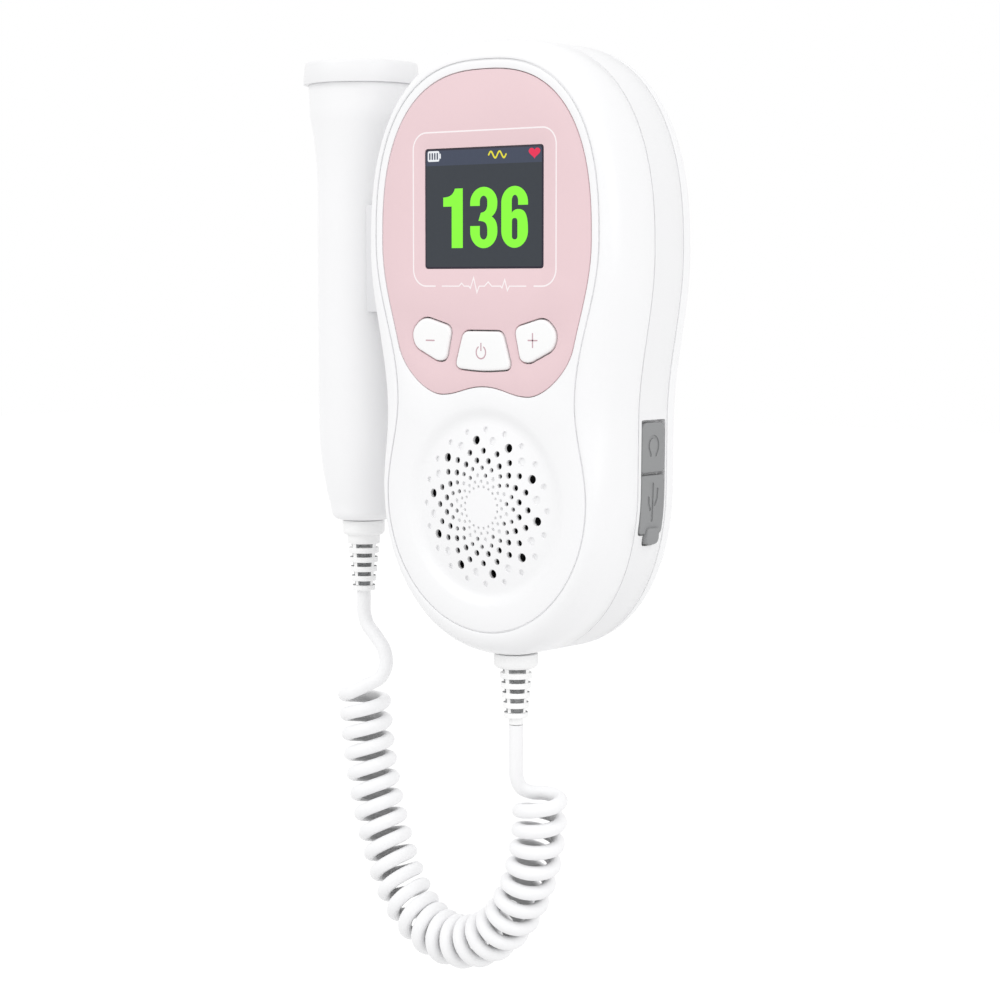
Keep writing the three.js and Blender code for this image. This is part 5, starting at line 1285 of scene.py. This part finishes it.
cradle_foot, cradle_top = CRADLE_ENDS
cradle_edge = ((-0.35, 0), (-0.1, 0.1), (0, 0.35))
cradle_steps = [(shift, cradle_top - way) for shift, way in cradle_edge]
cradle_steps += [(shift, cradle_foot + way) for shift, way in reversed(cradle_edge)]
# Painted shade: the saddle is a greyer white than the casing, standing in for the shade it lies in
# between the probe and the casing.
saddle_white_painted_shade = moulded("saddle white with painted shade", "e6e6e8", 0.34, Specular_IOR_Level=0.45)
cradle = add_plate(bmesh.new(), upright, cradle_loop(), cradle_steps)
cradle = finished("probe_saddle", cradle, saddle_white_painted_shade)
dressed(cradle, "handset", "white_shell", "probe_cradle")

# The probe is a turned white handle with a flared neck. A wider head in the same plastic is
# pressed on its top, and a smooth resin lens covers the crystals that send and hear.
PROBE_PROFILE = (
    (13.3, 64.96), (13, 57.3), (11.2, 39.5), (11.2, -19.5), (8.3, -41.6), (6.4, -44.5),
)
PROBE_WALL = 1.8
PROBE_BORE = 2.9
PROBE_TAIL_BORE = 5.4
HEAD_BOTTOM = 65
HEAD_TOP = 70.5
HEAD_RADIUS = 14.6
HEAD_TOP_RADIUS = 14.15
LENS_RADIUS = 12.4
LENS_THICK = 1.5


def round_probe(x, y, z):
    """A turned form about the probe's upright axis, in metres."""
    return Vector((PROBE_X + x, PROBE_DEPTH - BODY_DEPTH + y, z)) * MM


def probe_profile():
    """The handle's outside from its neck down to its rounded end."""
    (neck, top), (shoulder, shoulder_z), (grip, grip_top), (_, grip_foot) = PROBE_PROFILE[:4]
    (tail, tail_z), (end, end_z) = PROBE_PROFILE[4:]
    points = [(neck - 0.1, top), (neck - 0.03, top - 0.03), (neck, top - 0.1)]
    points += [
        (shoulder + (neck - shoulder) * (1 - i / 4) ** 1.6, top + (shoulder_z - top) * i / 4)
        for i in range(1, 5)
    ]
    for i in range(1, 13):
        s = i / 12
        z = shoulder_z + (grip_top - shoulder_z) * s
        points.append((grip + (shoulder - grip) * (1 - s) ** 2, z))
    points += [(grip, grip_top + (grip_foot - grip_top) * i / 8) for i in range(1, 9)]
    for i in range(1, 13):
        s = i / 12
        points.append((grip + (tail - grip) * s ** 2, grip_foot + (tail_z - grip_foot) * s))
    for i in range(1, 9):
        s = math.pi / 2 * i / 8
        points.append((end + (tail - end) * math.cos(s), tail_z + (end_z - tail_z) * math.sin(s)))
    return points


outer = probe_profile()
inner = [(radius - PROBE_WALL, z) for radius, z in reversed(outer[2:-4])]
probe_end = PROBE_PROFILE[-1][1]
handle_profile = [
    *outer, (PROBE_BORE, probe_end), (PROBE_BORE, probe_end + PROBE_WALL),
    (PROBE_TAIL_BORE, probe_end + PROBE_WALL), *inner,
]
handle = turned(bmesh.new(), handle_profile, round_probe, sides=96, closed=True)
dressed(finished("probe_handle_skin", handle, casing_white), "probe", "white_shell", "probe_handle")
head_profile = [
    (0, HEAD_BOTTOM + 1), (LENS_RADIUS + 0.3, HEAD_BOTTOM + 1), (LENS_RADIUS + 0.3, HEAD_TOP - 0.2),
    (LENS_RADIUS + 0.5, HEAD_TOP), (HEAD_TOP_RADIUS - 0.8, HEAD_TOP),
    (HEAD_TOP_RADIUS - 0.3, HEAD_TOP - 0.1), (HEAD_TOP_RADIUS - 0.05, HEAD_TOP - 0.35),
    (HEAD_TOP_RADIUS + 0.06, HEAD_TOP - 0.8), (HEAD_RADIUS, HEAD_BOTTOM + 0.16),
    (HEAD_RADIUS - 0.04, HEAD_BOTTOM + 0.04), (HEAD_RADIUS - 0.16, HEAD_BOTTOM),
    (11.5, HEAD_BOTTOM), (11.5, HEAD_BOTTOM - 3), (9.7, HEAD_BOTTOM - 3), (9.7, HEAD_BOTTOM),
    (0, HEAD_BOTTOM),
]
head = turned(bmesh.new(), head_profile, round_probe, sides=96)
dressed(finished("probe_head_skin", head, frame_white), "probe", "white_frame", "probe_head")
lens_resin = moulded("lens resin", "eef0f2", 0.18, shade=0.02, bump=0, Coat_Weight=0.4)
lens_profile = [
    (0, HEAD_TOP - LENS_THICK), (LENS_RADIUS, HEAD_TOP - LENS_THICK),
    (LENS_RADIUS, HEAD_TOP - 0.25), (LENS_RADIUS - 0.1, HEAD_TOP - 0.08),
    (LENS_RADIUS - 0.4, HEAD_TOP), (0, HEAD_TOP),
]
lens = turned(bmesh.new(), lens_profile, round_probe, sides=96)
dressed(finished("probe_lens_face", lens, lens_resin), "probe", "lens_resin", "probe_lens")
ceramic = worked("ceramic", "d9c9a3", "c2b088", 0.4, mix=0.6)
backing = moulded("crystal backing", "d8d2bf", 0.9, shade=0.2, bump=0.3)
repainted(ceramic, ["crystal_transmit", "crystal_receive"])
repainted(backing, ["crystal_backing"])
repainted(green_board, ["probe_board"])

# Where the cord leaves the handset and the probe it runs through a soft white strain relief:
# a collar, and below it a tapering sleeve. Five levels of slots cut the sleeve into ribs,
# which four narrow webs join, so that it bends easily all ways.
COLLAR_RADIUS = 5.4
COLLAR_ROUND = 1.25
PLUG_RADIUS = 2.6
NECK_RADIUS = 4.15
RIB_TOP_RADIUS = 4
RIB_TIP_RADIUS = 2.8
SLOT_CORE = 1.85
STUB_RADIUS = 1.78
SLOT_TALL = 1.05
SLOT_COUNT = 5
WEB_SINK = 0.3
WEB_HALF_ANGLE = 11
CORD_DEPTH = 12.5
relief_white = moulded(
    "relief white", "fdfdfd", 0.5, grain=3000, bump=0.08, Specular_IOR_Level=0.35
)
# Painted shade: a grey for the faces deep inside the slots, standing in for the shade there.
slot_painted_shade = moulded("relief slot painted shade", "a9aaab", 0.8, grain=3000, bump=0.08)


def relief(name, axis, top, collar_foot, first_slot, tip, end):
    """One strain relief on an upright axis, from its collar's top to its tip, then a bare end."""
    pitch = (first_slot - tip) / SLOT_COUNT
    slot_tops = [first_slot - pitch * k for k in range(SLOT_COUNT)]
    slots = [(slot_top - SLOT_TALL, slot_top) for slot_top in slot_tops]

    def width(z):
        share = (first_slot - z) / (first_slot - tip)
        return RIB_TOP_RADIUS + (RIB_TIP_RADIUS - RIB_TOP_RADIUS) * min(max(share, 0), 1)

    def place(x, y, z):
        radius = math.hypot(x, y)
        angle = math.degrees(math.atan2(y, x)) % 90
        off_web = WEB_HALF_ANGLE < angle < 90 - WEB_HALF_ANGLE
        if off_web and any(low < z < high for low, high in slots):
            x, y = x * SLOT_CORE / radius, y * SLOT_CORE / radius
        return Vector((axis[0] + x, axis[1] + y, z)) * MM

    profile = [(0, top + 1), (PLUG_RADIUS, top + 1), (PLUG_RADIUS, top), (COLLAR_RADIUS - 0.3, top)]
    profile += [(COLLAR_RADIUS - 0.08, top - 0.08), (COLLAR_RADIUS, top - 0.3)]
    for k in range(7):
        turn = math.pi / 2 * k / 6
        shrink = COLLAR_ROUND * (1 - math.cos(turn))
        profile.append((COLLAR_RADIUS - shrink, collar_foot + COLLAR_ROUND * (1 - math.sin(turn))))
    profile += [(NECK_RADIUS, collar_foot), (NECK_RADIUS, first_slot + 0.25)]
    profile += [(width(first_slot), first_slot)]
    for low, high in slots:
        profile += [(width(high) - WEB_SINK, high - 0.02), (width(low) - WEB_SINK, low + 0.02)]
        if low > tip + SLOT_TALL:
            profile += [(width(low) - 0.1, low), (width(low), low - 0.15)]
            foot = low - pitch + SLOT_TALL
            profile += [(width(low), foot + 0.12), (width(low) - 0.12, foot)]
    low = slots[-1][0]
    profile += [(width(low) - 0.1, low), (width(low), low - 0.15), (RIB_TIP_RADIUS, tip + 0.35)]
    profile += [(RIB_TIP_RADIUS - 0.1, tip + 0.1), (RIB_TIP_RADIUS - 0.35, tip)]
    profile += [(STUB_RADIUS, tip), (STUB_RADIUS, end), (0, end)]
    piece = finished(name, turned(bmesh.new(), profile, place, sides=72), relief_white)
    # The faces deep in the slots, off the webs, take the painted shade.
    piece.data.materials.append(slot_painted_shade)
    for face in piece.data.polygons:
        across = math.hypot(face.center.x / MM - axis[0], face.center.y / MM - axis[1])
        level = face.center.z / MM
        if tip < level < first_slot and across < SLOT_CORE + 0.9:
            inside_slot = any(low <= level <= high for low, high in slots)
            face.material_index = int(inside_slot and across < width(level) - WEB_SINK - 0.1)
    return piece


unit_axis = (0, CORD_DEPTH - BODY_DEPTH)
unit_relief = relief("strain_relief_unit", unit_axis, -73.9, -77.4, -77.5, -89.6, -91.3)
dressed(unit_relief, "handset", "cord_rubber", "cord_bushing_unit")
probe_axis = (PROBE_X, PROBE_DEPTH - BODY_DEPTH)
probe_relief = relief("strain_relief_probe", probe_axis, -44.8, -48.6, -50.8, -62.8, -62.85)
dressed(probe_relief, "probe", "cord_rubber", "cord_bushing_probe")

# The cord is a soft white jacket, three and a half millimetres thick, wound into twenty-five
# springy curls with a short lead at each end. It hangs in one loop from the handset's strain
# relief to the probe's.
CORD_DIAMETER = 3.5
CURL_RADIUS = 5
TURNS = 25.5
FIRST_TURN = 0.25
TURN_STEPS = 30
AXIS_POINTS = 65
EVEN_PASSES = 6
LEAD_POINTS = 34
TAIL_POINTS = 44
JACKET_SIDES = 18
UNIT_LEAD = (
    (0, -22.5, -91.5), (0, -22.5, -95.6), (0, -22.5, -100.2), (0.1, -22.4, -104.2),
    (0.9, -21.6, -107), (2.8, -19.9, -108.2), (5.2, -18.3, -108.3),
)
CURL_AXIS = (
    (7.8, -23, -108.4), (7.5, -23, -117.4), (4.9, -22.9, -127.9), (-0.2, -22.6, -137.9),
    (-8.3, -22.1, -145.5), (-19.5, -21.4, -148.9), (-30.7, -20.7, -146.2), (-38.6, -20.2, -138.3),
    (-43.7, -19.9, -128.4), (-48, -19.6, -115.6), (-50.8, -19.4, -102.8), (-52.5, -19.3, -88.9),
)
PROBE_LEAD = (
    (-48.6, -22.9, -86.8), (-45.5, -20.8, -84.7), (-44.4, -19.8, -81.3), (-45.4, -19.5, -77.6),
    (-48.4, -19.3, -74.4), (-51.3, -19.2, -71.6), (-52.4, -19.2, -68.4), (-52.4, -19.2, -65.4),
    (-52.4, -19.2, -62.4),
)


def smooth_line(points, count):
    """Evenly spaced points of the smooth curve through the given ones, ends included."""
    given = [np.array(point, float) for point in points]
    given = [2 * given[0] - given[1], *given, 2 * given[-1] - given[-2]]
    dense = []
    for a, b, c, d in zip(given, given[1:], given[2:], given[3:]):
        spans = [max(np.linalg.norm(q - p), 1e-8) ** 0.5 for p, q in ((a, b), (b, c), (c, d))]
        leaving = ((b - a) / spans[0] - (c - a) / (spans[0] + spans[1])) * spans[1] + (c - b)
        arriving = ((d - c) / spans[2] - (d - b) / (spans[1] + spans[2])) * spans[1] + (c - b)
        for i in range(80):
            t = i / 80
            dense.append(
                b + leaving * t + (3 * (c - b) - 2 * leaving - arriving) * t ** 2
                + (2 * (b - c) + leaving + arriving) * t ** 3
            )
    dense = np.array([*dense, given[-2]])
    ways = np.concatenate([[0], np.cumsum(np.linalg.norm(np.diff(dense, axis=0), axis=1))])
    wanted = np.linspace(0, ways[-1], count)
    return np.stack([np.interp(wanted, ways, dense[:, k]) for k in range(3)], axis=1)


curl_count = round(TURNS * TURN_STEPS) + 1
middle_line = smooth_line(CURL_AXIS, AXIS_POINTS)
for _ in range(EVEN_PASSES):
    middle_line[1:-1] = (middle_line[:-2] + 2 * middle_line[1:-1] + middle_line[2:]) / 4
middle_line = smooth_line(middle_line, curl_count)
along = np.gradient(middle_line, axis=0)
along /= np.linalg.norm(along, axis=1)[:, None]
across = np.cross((0, 1, 0), along)
across /= np.linalg.norm(across, axis=1)[:, None]
back_way = np.cross(along, across)
turn = math.tau * (FIRST_TURN + TURNS * np.linspace(0, 1, curl_count))[:, None]
curls = middle_line + CURL_RADIUS * (across * np.cos(turn) + back_way * np.sin(turn))
lead = smooth_line([*UNIT_LEAD, curls[0]], LEAD_POINTS)
tail = smooth_line([curls[-1], *PROBE_LEAD], TAIL_POINTS)
cord_path = np.concatenate([lead[:-1], curls, tail[1:]]) * MM


def jacket_tree():
    """Runs a round jacket along the given line of points."""
    tree, given, result = geometry_tree(
        "Cord jacket",
        [
            ("Radius", "NodeSocketFloat", 0.0015), ("Sides", "NodeSocketInt", 12),
            ("Material", "NodeSocketMaterial", None),
        ],
    )
    line = linked(tree, "GeometryNodeMeshToCurve", {"Mesh": given["Geometry"]}).outputs[0]
    values = {"Resolution": given["Sides"], "Radius": given["Radius"]}
    section = linked(tree, "GeometryNodeCurvePrimitiveCircle", values).outputs[0]
    values = {"Curve": line, "Profile Curve": section, "Fill Caps": True}
    jacket = linked(tree, "GeometryNodeCurveToMesh", values)
    return closing(tree, jacket.outputs[0], given, result)


jacket_white_painted_shade = moulded(
    "jacket white, painted coil shade", "fafafb", 0.42, shade=0.02, grain=1800, bump=0.05, Specular_IOR_Level=0.4
)
# Painted shade: the jacket's colour darkens where it faces the middle of the coil, standing in for
# the shade inside the curls.
tree = jacket_white_painted_shade.node_tree
shader = tree.nodes["Principled BSDF"]
inward = linked(tree, "ShaderNodeAttribute", attribute_name="inward")
values = {
    "Value": inward.outputs["Fac"], "From Min": 0.05, "From Max": 0.75, "To Min": 1, "To Max": 0.5,
}
painted_coil_shade = linked(tree, "ShaderNodeMapRange", values).outputs["Result"]
skin = shader.inputs["Base Color"].links[0].from_socket
tree.links.new(scaled(tree, skin, painted_coil_shade), shader.inputs["Base Color"])
line = bmesh.new()
knots = [line.verts.new(point) for point in cord_path]
for first, second in zip(knots, knots[1:]):
    line.edges.new((first, second))
jacket = {"Radius": CORD_DIAMETER / 2 * MM, "Sides": JACKET_SIDES, "Material": jacket_white_painted_shade}
cord = grown_from(jacket_tree(), "cord_jacket", line, jacket)
# How far each point faces the coil's middle drives that painted shade; it fades in over the first
# and last half turns, and the leads get none.
spots = np.zeros(3 * len(cord.data.vertices))
cord.data.vertices.foreach_get("co", spots)
out_ways = spots.reshape(len(cord_path), JACKET_SIDES, 3) / MM - cord_path[:, None] / MM
in_ways = np.zeros_like(cord_path)
steps = np.arange(curl_count)
ends = np.clip(np.minimum(steps, steps[::-1]) / TURN_STEPS * 2, 0, 1)
in_ways[len(lead) - 1:len(lead) - 1 + curl_count] = (middle_line - curls) * ends[:, None]
facing = np.einsum("ijk,ik->ij", out_ways, in_ways) / (CORD_DIAMETER / 2 * CURL_RADIUS)
cord.data.attributes.new("inward", "FLOAT", "POINT").data.foreach_set("value", facing.ravel())
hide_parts("curly_cord")
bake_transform(cord)

# The studio is a plain pale floor far below the part, under a soft white sky with a large
# lamp at the upper left and a weaker one at the right.
CAMERA_PLACE = (0.3656, -0.4834, 0.0151)
CAMERA_TURN = 38.8
CAMERA_DOWN = 5.03
CAMERA_LENS = 88.16
FLOOR_HEIGHT = -0.42
FLOOR_HALF = 6
FLOOR_GLOW = 0.72
SKY_LIGHT = 0.9
LAMP_SIZE = 0.9


def whitened(tree, shown, lit):
    """What lights the part, and in its place pure white where the camera or a gloss looks at it."""
    path = linked(tree, "ShaderNodeLightPath").outputs
    seen = reckoned(tree, "MAXIMUM", path["Is Camera Ray"], path["Is Transmission Ray"])
    seen = reckoned(tree, "MAXIMUM", seen, path["Is Glossy Ray"])
    return linked(tree, "ShaderNodeMixShader", {0: seen, 1: lit, 2: shown}).outputs[0]


def plain_shader(tree, kind, grey, **strength):
    """A shader of one grey."""
    return linked(tree, kind, {"Color": (grey, grey, grey, 1), **strength}).outputs[0]


world = bpy.data.worlds.new("studio")
bpy.context.scene.world = world
world.use_nodes = True
tree = world.node_tree
lit = plain_shader(tree, "ShaderNodeBackground", 1, Strength=SKY_LIGHT)
shown = plain_shader(tree, "ShaderNodeBackground", 1, Strength=1)
tree.links.new(whitened(tree, shown, lit), tree.nodes["World Output"].inputs["Surface"])

floor_shape = bmesh.new()
floor_box = box((-FLOOR_HALF, -FLOOR_HALF), (FLOOR_HALF, FLOOR_HALF))
floor_shape.faces.new([floor_shape.verts.new((x, y, FLOOR_HEIGHT)) for x, y in floor_box])
floor_white = bpy.data.materials.new("studio floor")
floor_white.use_nodes = True
tree = floor_white.node_tree
tree.nodes.remove(tree.nodes["Principled BSDF"])
lit = plain_shader(tree, "ShaderNodeBsdfDiffuse", 0.8)
pale = plain_shader(tree, "ShaderNodeBsdfDiffuse", 0.4)
glow = plain_shader(tree, "ShaderNodeEmission", 1, Strength=FLOOR_GLOW)
shown = linked(tree, "ShaderNodeAddShader", {0: pale, 1: glow}).outputs[0]
tree.links.new(whitened(tree, shown, lit), tree.nodes["Material Output"].inputs["Surface"])
floor = finished("studio_floor", floor_shape, floor_white)


def lamp(name, place, power):
    """A soft square lamp turned to the middle of the handset's back."""
    light = bpy.data.lights.new(name, "AREA")
    light.size = LAMP_SIZE
    light.energy = power
    holder = bpy.data.objects.new(name, light)
    holder.location = place
    holder.rotation_euler = (-Vector(place)).to_track_quat("-Z", "Y").to_euler()
    bpy.context.scene.collection.objects.link(holder)


lamp("key lamp", (-0.5, -1.1, 0.9), 4.2)
lamp("fill lamp", (1.3, -0.3, 0.4), 3.4)

lens_data = bpy.data.cameras.new("photo camera")
lens_data.lens = CAMERA_LENS
lens_data.sensor_width = 36
lens_data.clip_start = 0.01
camera = bpy.data.objects.new("photo camera", lens_data)
camera.location = CAMERA_PLACE
camera.rotation_euler = (math.radians(90 - CAMERA_DOWN), 0, math.radians(CAMERA_TURN))
bpy.context.scene.collection.objects.link(camera)
bpy.context.scene.camera = camera
bpy.context.scene.view_settings.view_transform = "Standard"
